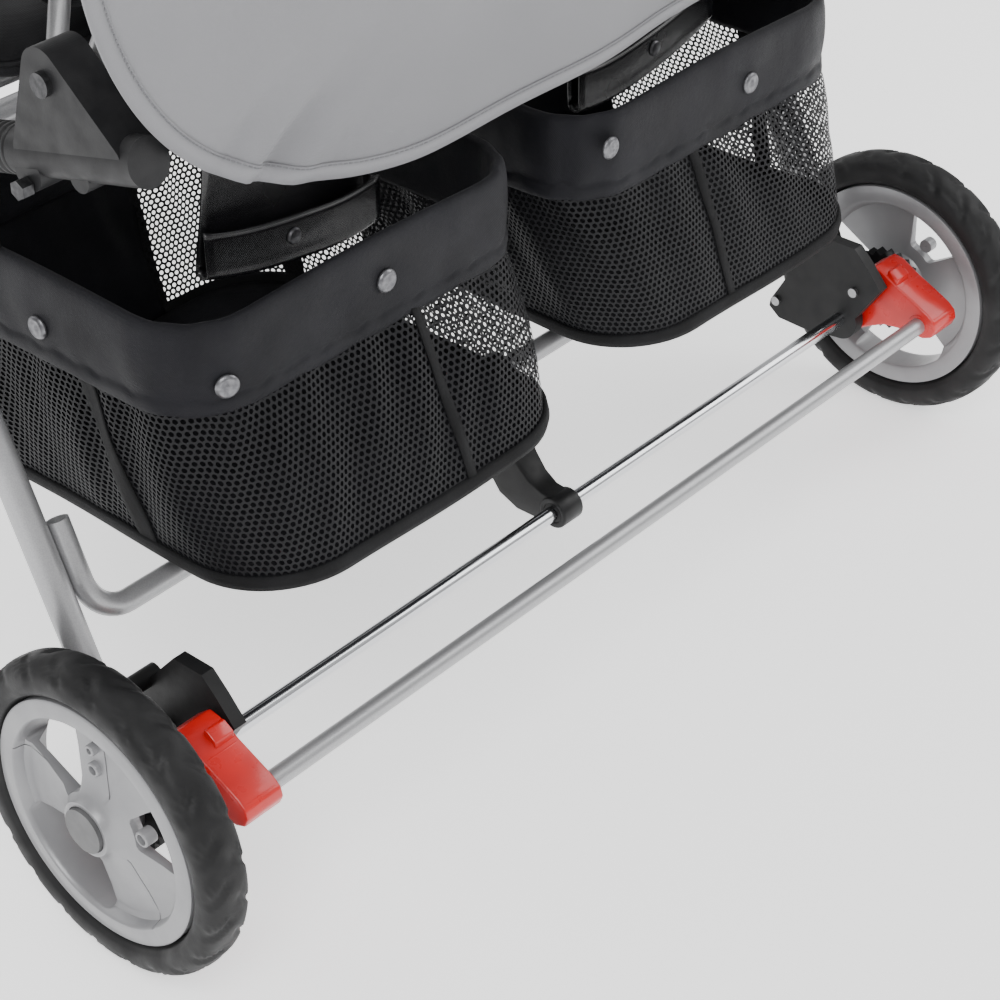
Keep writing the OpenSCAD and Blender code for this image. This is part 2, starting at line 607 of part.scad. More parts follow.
front_tyre(front_in_x);  // front_tyre_left_inner
mirror([1, 0, 0]) front_tyre(front_in_x);  // front_tyre_right_inner
mirror([1, 0, 0]) front_tyre(front_out_x);  // front_tyre_right_outer
front_rim(front_out_x);  // front_rim_left_outer
front_rim(front_in_x);  // front_rim_left_inner
mirror([1, 0, 0]) front_rim(front_in_x);  // front_rim_right_inner
mirror([1, 0, 0]) front_rim(front_out_x);  // front_rim_right_outer
handle_tube();
handle_grip();
rear_drape();
canopy_hubs();
canopy_bow();
canopy_fabric();
back_frame();  // back_frame_left
back_pad();  // back_pad_left
harness();  // harness_left
mirror([1, 0, 0]) back_frame();  // back_frame_right
mirror([1, 0, 0]) back_pad();  // back_pad_right
mirror([1, 0, 0]) harness();  // harness_right
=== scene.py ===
import json
import math

import bmesh
import bpy
import numpy as np
from mathutils import Matrix, Vector

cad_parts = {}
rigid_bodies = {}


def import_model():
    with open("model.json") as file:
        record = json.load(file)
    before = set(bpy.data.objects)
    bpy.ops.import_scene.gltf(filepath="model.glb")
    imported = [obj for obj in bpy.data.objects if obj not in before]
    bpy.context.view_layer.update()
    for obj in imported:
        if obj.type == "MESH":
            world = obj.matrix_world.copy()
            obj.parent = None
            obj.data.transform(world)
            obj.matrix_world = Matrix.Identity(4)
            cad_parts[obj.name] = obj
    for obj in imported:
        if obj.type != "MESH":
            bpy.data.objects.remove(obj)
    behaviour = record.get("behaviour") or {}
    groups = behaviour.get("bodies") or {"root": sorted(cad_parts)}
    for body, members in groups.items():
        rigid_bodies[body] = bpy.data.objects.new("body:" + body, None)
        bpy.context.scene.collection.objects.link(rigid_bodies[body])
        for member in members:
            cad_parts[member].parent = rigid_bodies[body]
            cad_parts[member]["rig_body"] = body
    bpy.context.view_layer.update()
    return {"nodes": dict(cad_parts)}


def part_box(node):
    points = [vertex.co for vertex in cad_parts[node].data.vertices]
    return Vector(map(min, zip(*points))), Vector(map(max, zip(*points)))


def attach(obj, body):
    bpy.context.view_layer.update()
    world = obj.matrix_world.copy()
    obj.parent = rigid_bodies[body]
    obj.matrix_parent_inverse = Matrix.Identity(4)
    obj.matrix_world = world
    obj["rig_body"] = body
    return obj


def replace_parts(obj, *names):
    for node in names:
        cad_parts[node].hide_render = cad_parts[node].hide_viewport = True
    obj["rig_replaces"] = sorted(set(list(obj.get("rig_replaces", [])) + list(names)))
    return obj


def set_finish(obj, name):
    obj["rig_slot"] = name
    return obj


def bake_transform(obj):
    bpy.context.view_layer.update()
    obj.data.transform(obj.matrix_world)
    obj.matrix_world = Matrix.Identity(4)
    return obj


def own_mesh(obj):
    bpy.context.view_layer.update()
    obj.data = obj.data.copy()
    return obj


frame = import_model()
nodes = frame["nodes"]


# ---------------------------------------------------------------- studio
# A camera standing behind the stroller's left rear wheel, a little above push-bar height,
# and looking down across both baskets. A pale floor and three broad soft lights.
camera_data = bpy.data.cameras.new("rear_camera")
camera_data.lens = 89.885
camera_data.sensor_width = 36
camera_data.clip_start = 0.05
rear_camera = bpy.data.objects.new("rear_camera", camera_data)
bpy.context.scene.collection.objects.link(rear_camera)
rear_camera.matrix_world = (
    Matrix.Translation((1.01165, 1.02417, 1.02493))
    @ Matrix.Rotation(math.radians(-138.2365 - 90), 4, "Z")
    @ Matrix.Rotation(math.radians(90 - 34.8168), 4, "X")
    @ Matrix.Rotation(math.radians(-0.8053), 4, "Z")
)
bpy.context.scene.camera = rear_camera

for name, place, aim, size, power in (
    ("key_light", (1.9, 1.5, 2.7), (0.0, 0.1, 0.3), 1.6, 62),
    ("side_light", (-2.2, 1.3, 1.9), (0.0, 0.1, 0.3), 1.8, 34),
    ("front_light", (0.3, -2.3, 2.4), (0.0, 0.0, 0.4), 2.2, 38),
):
    lamp = bpy.data.lights.new(name, "AREA")
    lamp.size = size
    lamp.energy = power
    light = bpy.data.objects.new(name, lamp)
    bpy.context.scene.collection.objects.link(light)
    light.location = place
    light.rotation_euler = (Vector(aim) - Vector(place)).to_track_quat("-Z", "Y").to_euler()

sky = bpy.data.worlds.new("studio_sky")
bpy.context.scene.world = sky
sky.use_nodes = True
sky.node_tree.nodes["Background"].inputs["Color"].default_value = (1, 1, 1, 1)
sky.node_tree.nodes["Background"].inputs["Strength"].default_value = 0.7


def deselect():
    for o in bpy.context.selected_objects:
        o.select_set(False)


deselect()
bpy.ops.mesh.primitive_plane_add(size=60)
studio_floor = bpy.context.object
studio_floor.name = "studio_floor"
floor_paint = bpy.data.materials.new("floor_paint")
floor_paint.use_nodes = True
floor_paint.node_tree.nodes["Principled BSDF"].inputs["Base Color"].default_value = (0.93, 0.93, 0.93, 1)
floor_paint.node_tree.nodes["Principled BSDF"].inputs["Roughness"].default_value = 0.9
floor_paint.node_tree.nodes["Principled BSDF"].inputs["Emission Color"].default_value = (1, 1, 1, 1)
floor_paint.node_tree.nodes["Principled BSDF"].inputs["Emission Strength"].default_value = 0.95
studio_floor.data.materials.append(floor_paint)


# ---------------------------------------------------------------- silver tubes
# Side rails, rear legs, cross tubes, push bar and backrest frames are bent steel tube,
# sprayed silver and lacquered: a satin surface with fine metal flake in it.
def finish(name, colour, roughness, metallic=0.0, **sockets):
    """A new material; its shader's other sockets are set by name with _ for a space."""
    m = bpy.data.materials.new(name)
    m.use_nodes = True
    shader = m.node_tree.nodes["Principled BSDF"]
    shader.inputs["Base Color"].default_value = (*colour, 1)
    shader.inputs["Roughness"].default_value = roughness
    shader.inputs["Metallic"].default_value = metallic
    for socket, value in sockets.items():
        shader.inputs[socket.replace("_", " ")].default_value = value
    m.diffuse_color = (*colour, 1)
    return m


def node(m, kind, **settings):
    """A node of that kind in m; a setting that names an input sets it or links to it."""
    n = m.node_tree.nodes.new(kind)
    for key, value in settings.items():
        if hasattr(n, key) and key not in n.inputs:
            setattr(n, key, value)
            continue
        socket = n.inputs[int(key[1:])] if key[0] == "i" and key[1:].isdigit() else n.inputs[key]
        if isinstance(value, bpy.types.NodeSocket):
            m.node_tree.links.new(value, socket)
        else:
            socket.default_value = value
    return n


def feed(m, value, socket):
    m.node_tree.links.new(value, m.node_tree.nodes["Principled BSDF"].inputs[socket])


def place_of(m):
    return node(m, "ShaderNodeTexCoord").outputs["Object"]


def mottle(m, colour_a, colour_b, scale, detail=3.0, low=0.35, high=0.65, at=None):
    """Two colours mixed by a soft noise, as dust, wear and uneven dye give."""
    noise = node(m, "ShaderNodeTexNoise", Vector=at or place_of(m), Scale=scale, Detail=detail)
    ramp = node(m, "ShaderNodeValToRGB", Fac=noise.outputs["Fac"])
    ramp.color_ramp.elements[0].position, ramp.color_ramp.elements[1].position = low, high
    ramp.color_ramp.elements[0].color = (*colour_a, 1)
    ramp.color_ramp.elements[1].color = (*colour_b, 1)
    feed(m, ramp.outputs["Color"], "Base Color")
    return noise


def rough_range(m, low, high, scale, at=None):
    noise = node(m, "ShaderNodeTexNoise", Vector=at or place_of(m), Scale=scale, Detail=4.0)
    spread = node(m, "ShaderNodeMapRange", Value=noise.outputs["Fac"])
    spread.inputs["From Min"].default_value, spread.inputs["From Max"].default_value = 0.3, 0.7
    spread.inputs["To Min"].default_value, spread.inputs["To Max"].default_value = low, high
    feed(m, spread.outputs["Result"], "Roughness")


def bumped(m, height, depth, strength=1.0):
    """Raises the surface by height x depth metres."""
    b = node(m, "ShaderNodeBump", Height=height, Distance=depth, Strength=strength)
    feed(m, b.outputs["Normal"], "Normal")
    return b


def grain(m, scale, depth, detail=2.0, at=None):
    noise = node(m, "ShaderNodeTexNoise", Vector=at or place_of(m), Scale=scale, Detail=detail)
    return bumped(m, noise.outputs["Fac"], depth)


silver_spray = finish("silver_spray", (0.37, 0.37, 0.38), 0.34, 0.55, Coat_Weight=0.25, Coat_Roughness=0.18)
mottle(silver_spray, (0.35, 0.35, 0.362), (0.40, 0.40, 0.405), 1400, low=0.42, high=0.58)
rough_range(silver_spray, 0.29, 0.38, 45)
grain(silver_spray, 1800, 0.00002)


def give(material, *names):
    """Puts a finish on CAD pieces whose shape is kept."""
    for n in names:
        nodes[n].data.materials.clear()
        nodes[n].data.materials.append(material)


give(
    silver_spray,
    "side_rail_left", "side_rail_right", "footrest_bar", "seat_front_tube", "seat_cross_tubes",
    "rear_leg_left", "rear_leg_right", "rear_cross_tube", "handle_tube", "canopy_bow",
    "back_frame_left", "back_frame_right",
)  # fmt: skip


# ---------------------------------------------------------------- bright metal
# The rear axle and the front axles are ground steel rod, bright zinc plated; the bolts
# bracket screws are plated too, but rougher, and the frame bolts are black oxide steel.
bright_zinc = finish("bright_zinc", (0.66, 0.67, 0.69), 0.16, 1.0)
along = node(bright_zinc, "ShaderNodeMapping", Vector=place_of(bright_zinc), Scale=(6, 900, 900))
rough_range(bright_zinc, 0.1, 0.24, 1.0, at=along.outputs["Vector"])
grain(bright_zinc, 1.0, 0.00001, at=along.outputs["Vector"])
give(bright_zinc, "rear_axle", "front_axle_left", "front_axle_right")

bolt_zinc = finish("bolt_zinc", (0.42, 0.42, 0.43), 0.32, 0.95)
mottle(bolt_zinc, (0.36, 0.36, 0.365), (0.48, 0.48, 0.49), 260)
rough_range(bolt_zinc, 0.26, 0.44, 120)
grain(bolt_zinc, 900, 0.00002)
give(bolt_zinc, "bracket_screws")

black_oxide = finish("black_oxide", (0.05, 0.05, 0.052), 0.36, 0.85)
mottle(black_oxide, (0.036, 0.036, 0.038), (0.075, 0.075, 0.078), 260)
rough_range(black_oxide, 0.28, 0.46, 120)
grain(black_oxide, 900, 0.00002)
give(black_oxide, "frame_bolts")

bar_spray = silver_spray.copy()
bar_spray.name = "bar_spray"
give(bar_spray, "brake_bar")


# ---------------------------------------------------------------- axle brackets
# Each end of the rear axle sits in a two-cheeked bracket moulded in black nylon, which
# also holds the foot of the rear leg. A domed cap covers the cheek where the leg goes in.
black_nylon = finish("black_nylon", (0.008, 0.008, 0.0085), 0.42, Specular_IOR_Level=0.28)
mottle(black_nylon, (0.0075, 0.0075, 0.008), (0.013, 0.013, 0.0135), 60)
rough_range(black_nylon, 0.34, 0.52, 80)
grain(black_nylon, 1500, 0.00005)
give(
    black_nylon,
    "axle_bracket_left", "axle_bracket_right", "caster_sockets",
    "caster_fork_left", "caster_fork_right", "canopy_hubs",
)  # fmt: skip

axle_low, axle_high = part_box("rear_axle")
axle_y = (axle_low.y + axle_high.y) / 2
axle_h = (axle_low.z + axle_high.z) / 2


def ready(o, name, material, slot, body):
    """Names a finished piece, puts its place in its mesh and fixes it to its body."""
    o.name = name
    o.data.name = name
    deselect()
    o.select_set(True)
    bpy.context.view_layer.objects.active = o
    bpy.ops.object.transform_apply(location=True, rotation=True, scale=True)
    if material:
        o.data.materials.clear()
        o.data.materials.append(material)
    if slot:
        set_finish(o, slot)
    if body:
        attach(o, body)
    return o


def apply_all(o):
    deselect()
    o.select_set(True)
    bpy.context.view_layer.objects.active = o
    for m in list(o.modifiers):
        bpy.ops.object.modifier_apply(modifier=m.name)


def round_edges(o, width, segments=2, angle=35):
    m = o.modifiers.new("round", "BEVEL")
    m.width, m.segments, m.limit_method, m.angle_limit = width, segments, "ANGLE", math.radians(angle)
    m.harden_normals = False
    apply_all(o)
    deselect()
    o.select_set(True)
    bpy.context.view_layer.objects.active = o
    bpy.ops.object.shade_smooth_by_angle(angle=math.radians(38))


def blank(points, x0, x1):
    """A side-view outline (back, up) in millimetres, cut to run from x0 to x1."""
    deselect()
    mesh = bpy.data.meshes.new("blank")
    mesh.from_pydata([(x0 / 1000, y / 1000, z / 1000) for y, z in points], [], [range(len(points))])
    o = bpy.data.objects.new("blank", mesh)
    bpy.context.scene.collection.objects.link(o)
    o.select_set(True)
    bpy.context.view_layer.objects.active = o
    bpy.ops.object.mode_set(mode="EDIT")
    bpy.ops.mesh.select_all(action="SELECT")
    bpy.ops.mesh.extrude_region_move(TRANSFORM_OT_translate={"value": ((x1 - x0) / 1000, 0, 0)})
    bpy.ops.mesh.select_all(action="SELECT")
    bpy.ops.mesh.normals_make_consistent(inside=False)
    bpy.ops.object.mode_set(mode="OBJECT")
    return o


def joined(first, *others):
    deselect()
    for o in (first, *others):
        o.select_set(True)
    bpy.context.view_layer.objects.active = first
    bpy.ops.object.join()
    return first


def other_side(o, name):
    """The same piece for the stroller's right side, mirrored, with a mesh of its own."""
    twin = o.copy()
    twin.data = o.data.copy()
    twin.parent = None
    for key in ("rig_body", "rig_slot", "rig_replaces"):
        if key in twin:
            del twin[key]
    bpy.context.scene.collection.objects.link(twin)
    twin.data.transform(Matrix.Scale(-1, 4, (1, 0, 0)))
    twin.data.flip_normals()
    twin.name = name
    twin.data.name = name
    return twin


def shift(o, x, y, z):
    o.data.transform(Matrix.Translation((x, y, z)))
    return o


# ---------------------------------------------------------------- centre support
# A moulded black nylon arm between the baskets: it is pressed onto the middle of the rear
# cross tube and runs back to a collar round the axle, narrowing and dishing as it goes.
def turned(profile, steps):
    """A closed (along the axle, out from it) outline in millimetres, spun about the X axis."""
    deselect()
    mesh = bpy.data.meshes.new("turned")
    count = len(profile)
    mesh.from_pydata(
        [(x / 1000, 0, r / 1000) for x, r in profile], [(i, (i + 1) % count) for i in range(count)], []
    )
    o = bpy.data.objects.new("turned", mesh)
    bpy.context.scene.collection.objects.link(o)
    o.select_set(True)
    bpy.context.view_layer.objects.active = o
    bpy.ops.object.mode_set(mode="EDIT")
    bpy.ops.mesh.select_all(action="SELECT")
    bpy.ops.mesh.spin(steps=steps, angle=2 * math.pi, center=(0, 0, 0), axis=(1, 0, 0))
    bpy.ops.mesh.select_all(action="SELECT")
    bpy.ops.mesh.remove_doubles(threshold=0.00002)
    bpy.ops.mesh.normals_make_consistent(inside=False)
    bpy.ops.object.mode_set(mode="OBJECT")
    return o


arm = blank(
    [
        (-76, 172), (-73, 183), (-64, 188), (-53, 186), (-46, 176), (-41, 158), (-36, 141),
        (-29, 127), (-20, 117), (-10, 111.6), (0, 110.5), (7, 107), (10, 100), (7, 93),
        (0, 89.6), (-14, 88.6), (-30, 90), (-44, 98), (-58, 118), (-68, 142),
    ],
    -12.5, 12.5,
)  # fmt: skip
for v in arm.data.vertices:
    v.co.x *= 0.66 + 0.34 * min(1, max(0, (-v.co.y * 1000 - 8) / 40)) ** 1.3
round_edges(arm, 0.0024, 3)
collar = turned([(-9, 7.2), (-9.5, 10), (-8.6, 11), (8.6, 11), (9.5, 10), (9, 7.2)], 40)
round_edges(collar, 0.0006, 2)
collar.data.transform(Matrix.Translation((0, 0, 0.1)))
arm = joined(arm, collar)
shift(arm, 0, axle_y, axle_h - 0.1)
ready(arm, "centre_support_arm", black_nylon, "black_plastic", "rear_frame")
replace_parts(arm, "centre_support")


# ---------------------------------------------------------------- brake levers
# Two foot pedals moulded in glossy red nylon, hung on the axle and joined by the brake bar.
# Ribs across the top grip the shoe, and a thin tongue runs forward below the axle.
pedal_red = finish("pedal_red", (0.58, 0.006, 0.004), 0.38, Coat_Weight=0.3, Coat_Roughness=0.12)
mottle(pedal_red, (0.52, 0.005, 0.003), (0.62, 0.007, 0.005), 40)
rough_range(pedal_red, 0.24, 0.38, 90)
grain(pedal_red, 700, 0.00004)

pedal_low, pedal_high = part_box("brake_lever_left")
pedal = blank(
    [(1, 28), (9, 37), (18, 44.5), (26, 43), (40, 35), (56, 27.5), (66, 22.5), (71.5, 18), (73, 12), (70, 5.5),
     (63, 2.6), (54, 3.4), (42, 3.2), (30, 1.5), (20, -3.5), (12, -8), (2, -9), (-4, 0), (-3, 14)],
    pedal_low.x * 1000, pedal_high.x * 1000,
)  # fmt: skip
deselect()
pedal.select_set(True)
bpy.context.view_layer.objects.active = pedal
bpy.ops.object.mode_set(mode="EDIT")
bpy.ops.mesh.select_all(action="DESELECT")
bm = bmesh.from_edit_mesh(pedal.data)
for face in bm.faces:
    face.select = face.normal.x < -0.9
bmesh.update_edit_mesh(pedal.data)
bpy.ops.mesh.inset(thickness=0.003, depth=-0.0012)
bpy.ops.object.mode_set(mode="OBJECT")
round_edges(pedal, 0.0016, 3)
tongue = blank(
    [(12, -8), (4, -16), (-6, -23.5), (-11, -24.5), (-13, -21), (-10, -16.5), (-2, -10), (2, -2), (12, 0)],
    pedal_low.x * 1000, pedal_low.x * 1000 + 11,
)  # fmt: skip
round_edges(tongue, 0.0014)
ribs = []
for k in range(7):
    along_top = 25 + 5.4 * k
    y, z = 18 + along_top * 0.886, 45.5 - along_top * 0.463
    rib = blank(
        [
            (y - 1.1, z - 3), (y - 1.1, z + 0.4), (y - 0.5, z + 1),
            (y + 0.5, z + 1), (y + 1.1, z + 0.4), (y + 1.1, z - 3),
        ],
        pedal_low.x * 1000 + 2.5, pedal_high.x * 1000 - 2.5,
    )  # fmt: skip
    round_edges(rib, 0.0004, 2)
    ribs.append(rib)
step = blank([(28, 38), (29, 44.5), (31, 45), (38, 40.5), (38, 35)], pedal_low.x * 1000 + 2, pedal_high.x * 1000 - 12)
round_edges(step, 0.0007, 2)
barrel = blank(
    [(14 * math.cos(a), 14 * math.sin(a)) for a in np.linspace(0, 2 * math.pi, 49)[:-1]],
    pedal_low.x * 1000 + 2, pedal_high.x * 1000,
)  # fmt: skip
round_edges(barrel, 0.0012)
socket = blank(
    [(59 + 8.4 * math.cos(a), 12 + 8.4 * math.sin(a)) for a in np.linspace(0, 2 * math.pi, 33)[:-1]],
    pedal_low.x * 1000 - 0.6, pedal_low.x * 1000 + 6,
)  # fmt: skip
round_edges(socket, 0.0008)
pedal = shift(joined(pedal, tongue, step, barrel, socket, *ribs), 0, axle_y, axle_h)
pedal_right = other_side(pedal, "brake_pedal_right")
ready(pedal, "brake_pedal_left", pedal_red, "brake_red", "brake")
ready(pedal_right, "brake_pedal_right", pedal_red, "brake_red", "brake")
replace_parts(pedal, "brake_lever_left")
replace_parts(pedal_right, "brake_lever_right")


# ---------------------------------------------------------------- rear and front wheels
# Moulded wheels: a silver-grey nylon rim with three broad spokes, a grey hub cap, and a
# black foam-rubber tyre with slanted tread blocks. Rear wheels carry the brake's ratchet.
tyre_rubber = finish("tyre_rubber", (0.011, 0.011, 0.0115), 0.52, Specular_IOR_Level=0.26)
mottle(tyre_rubber, (0.0085, 0.0085, 0.009), (0.0155, 0.0155, 0.016), 38, detail=5)
rough_range(tyre_rubber, 0.44, 0.68, 55)
grain(tyre_rubber, 900, 0.00006)
rim_nylon = finish("rim_nylon", (0.27, 0.27, 0.28), 0.38, 0.25, Coat_Weight=0.15, Coat_Roughness=0.25)
mottle(rim_nylon, (0.255, 0.255, 0.264), (0.29, 0.29, 0.298), 30)
rough_range(rim_nylon, 0.32, 0.46, 70)
grain(rim_nylon, 1300, 0.00004)
cap_nylon = finish("cap_nylon", (0.1, 0.1, 0.103), 0.45)
mottle(cap_nylon, (0.088, 0.088, 0.09), (0.12, 0.12, 0.122), 90)
grain(cap_nylon, 1200, 0.00004)
give(cap_nylon, "hub_cap_left", "hub_cap_right")


def cut(o, *cutters):
    for c in cutters:
        m = o.modifiers.new("cut", "BOOLEAN")
        m.object, m.operation, m.solver = c, "DIFFERENCE", "EXACT"
        apply_all(o)
        bpy.data.objects.remove(c)
    return o


def window_cutter(centre, half, r0, r1):
    """The air between two spokes, as a plug to cut with, its corners rounded."""
    a = np.radians(np.linspace(centre - half, centre + half, 15))
    inner = np.radians(np.linspace(centre + half * 0.8, centre - half * 0.8, 7))
    outline = [(r1 * math.cos(t), r1 * math.sin(t)) for t in a]
    outline += [(r0 * math.cos(t), r0 * math.sin(t)) for t in inner]
    plug = blank(outline, -40, 40)
    m = plug.modifiers.new("corners", "BEVEL")
    m.width, m.segments, m.limit_method, m.angle_limit = 0.0035, 4, "ANGLE", math.radians(50)
    apply_all(plug)
    return plug


def make_rim(size, x_in, x_out, half_w, windows, creases, bosses):
    """A spoked rim about the X axis; size is its radius where the tyre sits."""
    hub = 0.2 * size + 1.4
    lip = size - 12 * size / 78
    profile = [
        (-half_w, size), (half_w, size), (half_w + 0.9, size - 1.2), (half_w + 0.9, lip + 1), (half_w, lip),
        (half_w - 6, lip - 1.2), (half_w - 7.6, lip - 5), (half_w - 6.4, 0.62 * size), (half_w - 3.4, 0.38 * size),
        (half_w, hub + 5), (x_out - 1, hub + 1.2), (x_out + 1.6, hub + 0.4), (x_out + 1.6, hub - 2.4),
        (x_out - 0.3, hub - 2.8), (x_out - 0.3, 5.2), (x_in, 5.2), (x_in, hub - 1.5), (half_w - 15, hub),
        (half_w - 10, hub + 4), (half_w - 11.5, 0.62 * size), (half_w - 12, lip - 6), (-half_w + 1.5, lip - 1),
        (-half_w, lip + 1),
    ]  # fmt: skip
    rim = turned(profile, 128)
    cut(rim, *[window_cutter(c, h, r0, r1) for c, h, r0, r1 in windows])
    for r0, a0, r1, a1 in creases:
        p = Vector((r0 * math.cos(math.radians(a0)), r0 * math.sin(math.radians(a0)), 0))
        q = Vector((r1 * math.cos(math.radians(a1)), r1 * math.sin(math.radians(a1)), 0))
        side = Vector((-(q - p).y, (q - p).x, 0)).normalized() * 0.45
        groove = blank([tuple(v[:2]) for v in (p - side, q - side, q + side, p + side)], half_w - 7.6, half_w + 3)
        cut(rim, groove)
    round_edges(rim, 0.0007, 2, 40)
    parts = []
    for r, a, d in bosses:
        y, z = r * math.cos(math.radians(a)), r * math.sin(math.radians(a))
        ring = turned(
            [(half_w - 10, d / 2), (half_w - 2.6, d / 2), (half_w - 2, d / 2 - 0.7), (half_w - 2, d / 2 - 1.6),
             (half_w - 5, d / 2 - 2), (half_w - 5, 0.4), (half_w - 10, 0.4)], 24,
        )  # fmt: skip
        parts.append(shift(ring, 0, y / 1000, z / 1000))
    for p in parts:
        round_edges(p, 0.0002, 1)
    return joined(rim, *parts) if parts else rim


def make_tyre(r_in, r_out, width, blocks, around, across):
    """A tyre about the X axis. Slanted blocks stand on its crown and lap over its shoulders."""
    deselect()
    bpy.ops.mesh.primitive_torus_add(
        major_segments=around, minor_segments=across, major_radius=1, minor_radius=0.1, rotation=(0, math.pi / 2, 0)
    )
    tyre = bpy.context.object
    bpy.ops.object.transform_apply(location=True, rotation=True, scale=True)
    count = len(tyre.data.vertices)
    co = np.empty(count * 3, np.float32)
    tyre.data.vertices.foreach_get("co", co)
    co = co.reshape(-1, 3).astype(float)
    turn = np.arctan2(co[:, 2], co[:, 1])
    out = np.hypot(co[:, 1], co[:, 2]) - 1
    section = np.arctan2(out, co[:, 0])
    power = 2 / 2.9
    c, s = np.cos(section), np.sin(section)
    half = (r_out - r_in) / 2
    x = width / 2 * np.sign(c) * np.abs(c) ** power
    r = (r_out + r_in) / 2 + half * np.sign(s) * np.abs(s) ** power
    r -= 1.2 * np.clip((np.abs(x) / (width / 2)) ** 2, 0, 1) * (s > 0)
    side = x / (width / 2)
    slant = turn * blocks / (2 * math.pi)
    edge = lambda v, lo, hi: np.clip((v - lo) / (hi - lo), 0, 1) ** 2 * (3 - 2 * np.clip((v - lo) / (hi - lo), 0, 1))
    on_crown = edge(r, r_out - 11 * half / 11, r_out - 5.5)
    phase = (slant + 0.55 * np.abs(side) + 0.5 * (side > 0)) % 1
    wide_cut = edge(np.abs(phase - 0.5), 0.36, 0.41)
    thin = np.minimum(np.abs(phase - 0.33), np.abs(phase - 0.2))
    thin_cut = 1 - edge(thin, 0.012, 0.03)
    centre_rib = edge(np.abs(side), 0.1, 0.16)
    ring_cut = (1 - edge(np.abs(np.abs(side) - 0.27), 0.02, 0.055)) * 0.8
    depth = 1.5 * wide_cut * centre_rib + 0.8 * thin_cut * edge(np.abs(side), 0.3, 0.4)
    depth = np.maximum(depth, ring_cut) * on_crown
    wall_ring = (1 - edge(np.abs(r - r_in - 4.2), 0.25, 0.7)) * (np.abs(c) > 0.5) * 0.35
    slope = np.hypot(c, s) + 1e-9
    r -= depth * np.clip(s, 0.15, 1) / slope
    x -= np.sign(x) * (depth * np.abs(c) / slope * 0.7 + wall_ring)
    co = np.stack([x, r * np.cos(turn), r * np.sin(turn)], 1) / 1000
    tyre.data.vertices.foreach_set("co", co.astype(np.float32).ravel())
    tyre.data.update()
    bpy.ops.object.shade_smooth()
    bpy.ops.object.mode_set(mode="EDIT")
    bpy.ops.mesh.select_all(action="SELECT")
    bpy.ops.mesh.normals_make_consistent(inside=False)
    bpy.ops.object.mode_set(mode="OBJECT")
    return tyre


wheel_x = (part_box("rear_tyre_left")[0].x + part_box("rear_tyre_left")[1].x) / 2
rear_windows = [(131.5, 27.5, 21, 65.5), (-124, 36, 21, 65.5), (13.5, 22, 31, 63)]
rear_rim = make_rim(
    78, -21.5, 16, 12, rear_windows,
    [(67, 163, 24, 139), (27, -30, 67, -51), (28, 60, 66, 84)],
    [(39, 86, 9), (39, 14, 10), (52, 88, 7)],
)  # fmt: skip
rear_tyre = make_tyre(78, 100, 30, 22, 440, 56)
ratchet_points = []
for k in range(48):
    reach = 27.5 if k % 2 else 31
    ratchet_points.append((reach * math.cos(math.radians(7.5 * k)), reach * math.sin(math.radians(7.5 * k))))
ratchet = blank(ratchet_points, -20, -11)
cut(ratchet, blank([(18 * math.cos(a), 18 * math.sin(a)) for a in np.linspace(0, 2 * math.pi, 41)[:-1]], -40, -14))
round_edges(ratchet, 0.0004)
for side_name, sign, spin in (("left", 1, 0), ("right", -1, 46)):
    for made, kind, material, slot_name in (
        (rear_tyre, "tyre", tyre_rubber, "tyre"),
        (rear_rim, "rim", rim_nylon, "rim"),
        (ratchet, "ratchet", black_nylon, "black_plastic"),
    ):
        piece = made.copy()
        piece.data = made.data.copy()
        bpy.context.scene.collection.objects.link(piece)
        piece.data.transform(Matrix.Rotation(math.radians(spin), 4, "X"))
        if sign < 0:
            piece.data.transform(Matrix.Scale(-1, 4, (1, 0, 0)))
            piece.data.flip_normals()
        shift(piece, sign * wheel_x, axle_y, axle_h)
        ready(piece, f"rear_{kind}_{side_name}_made", material, slot_name, f"rear_wheel_{side_name}")
        if kind != "ratchet":
            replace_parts(piece, f"rear_{kind}_{side_name}")
for made in (rear_tyre, rear_rim, ratchet):
    bpy.data.objects.remove(made)

front_rim = make_rim(
    58, -11.5, 11.5, 9,
    [(131.5, 27, 17, 47.5), (-124, 34, 17, 47.5), (5, 27, 17, 47.5)], [], [(29, 80, 7), (29, -45, 7)],
)
front_tyre = make_tyre(58, 75, 24, 20, 320, 40)
for which, sign in (("left_outer", 1), ("left_inner", 1), ("right_inner", -1), ("right_outer", -1)):
    low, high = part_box(f"front_tyre_{which}")
    for made, kind, material, slot_name in (
        (front_tyre, "tyre", tyre_rubber, "tyre"),
        (front_rim, "rim", rim_nylon, "rim"),
    ):
        piece = made.copy()
        piece.data = made.data.copy()
        bpy.context.scene.collection.objects.link(piece)
        faces_out = sign if which.endswith("outer") else -sign
        if faces_out < 0:
            piece.data.transform(Matrix.Scale(-1, 4, (1, 0, 0)))
            piece.data.flip_normals()
        shift(piece, (low.x + high.x) / 2, (low.y + high.y) / 2, (low.z + high.z) / 2)
        ready(piece, f"front_{kind}_{which}_made", material, slot_name, f"front_wheel_{which}")
        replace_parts(piece, f"front_{kind}_{which}")
for made in (front_tyre, front_rim):
    bpy.data.objects.remove(made)


# ---------------------------------------------------------------- shopping baskets
# Two open bags hung from the seat tubes: a padded band of black nylon round the mouth,
# walls of black hexagonal net with seam tapes, and a nylon floor with a bound edge.
def cloth_at(m):
    return node(m, "ShaderNodeTexCoord").outputs["UV"]


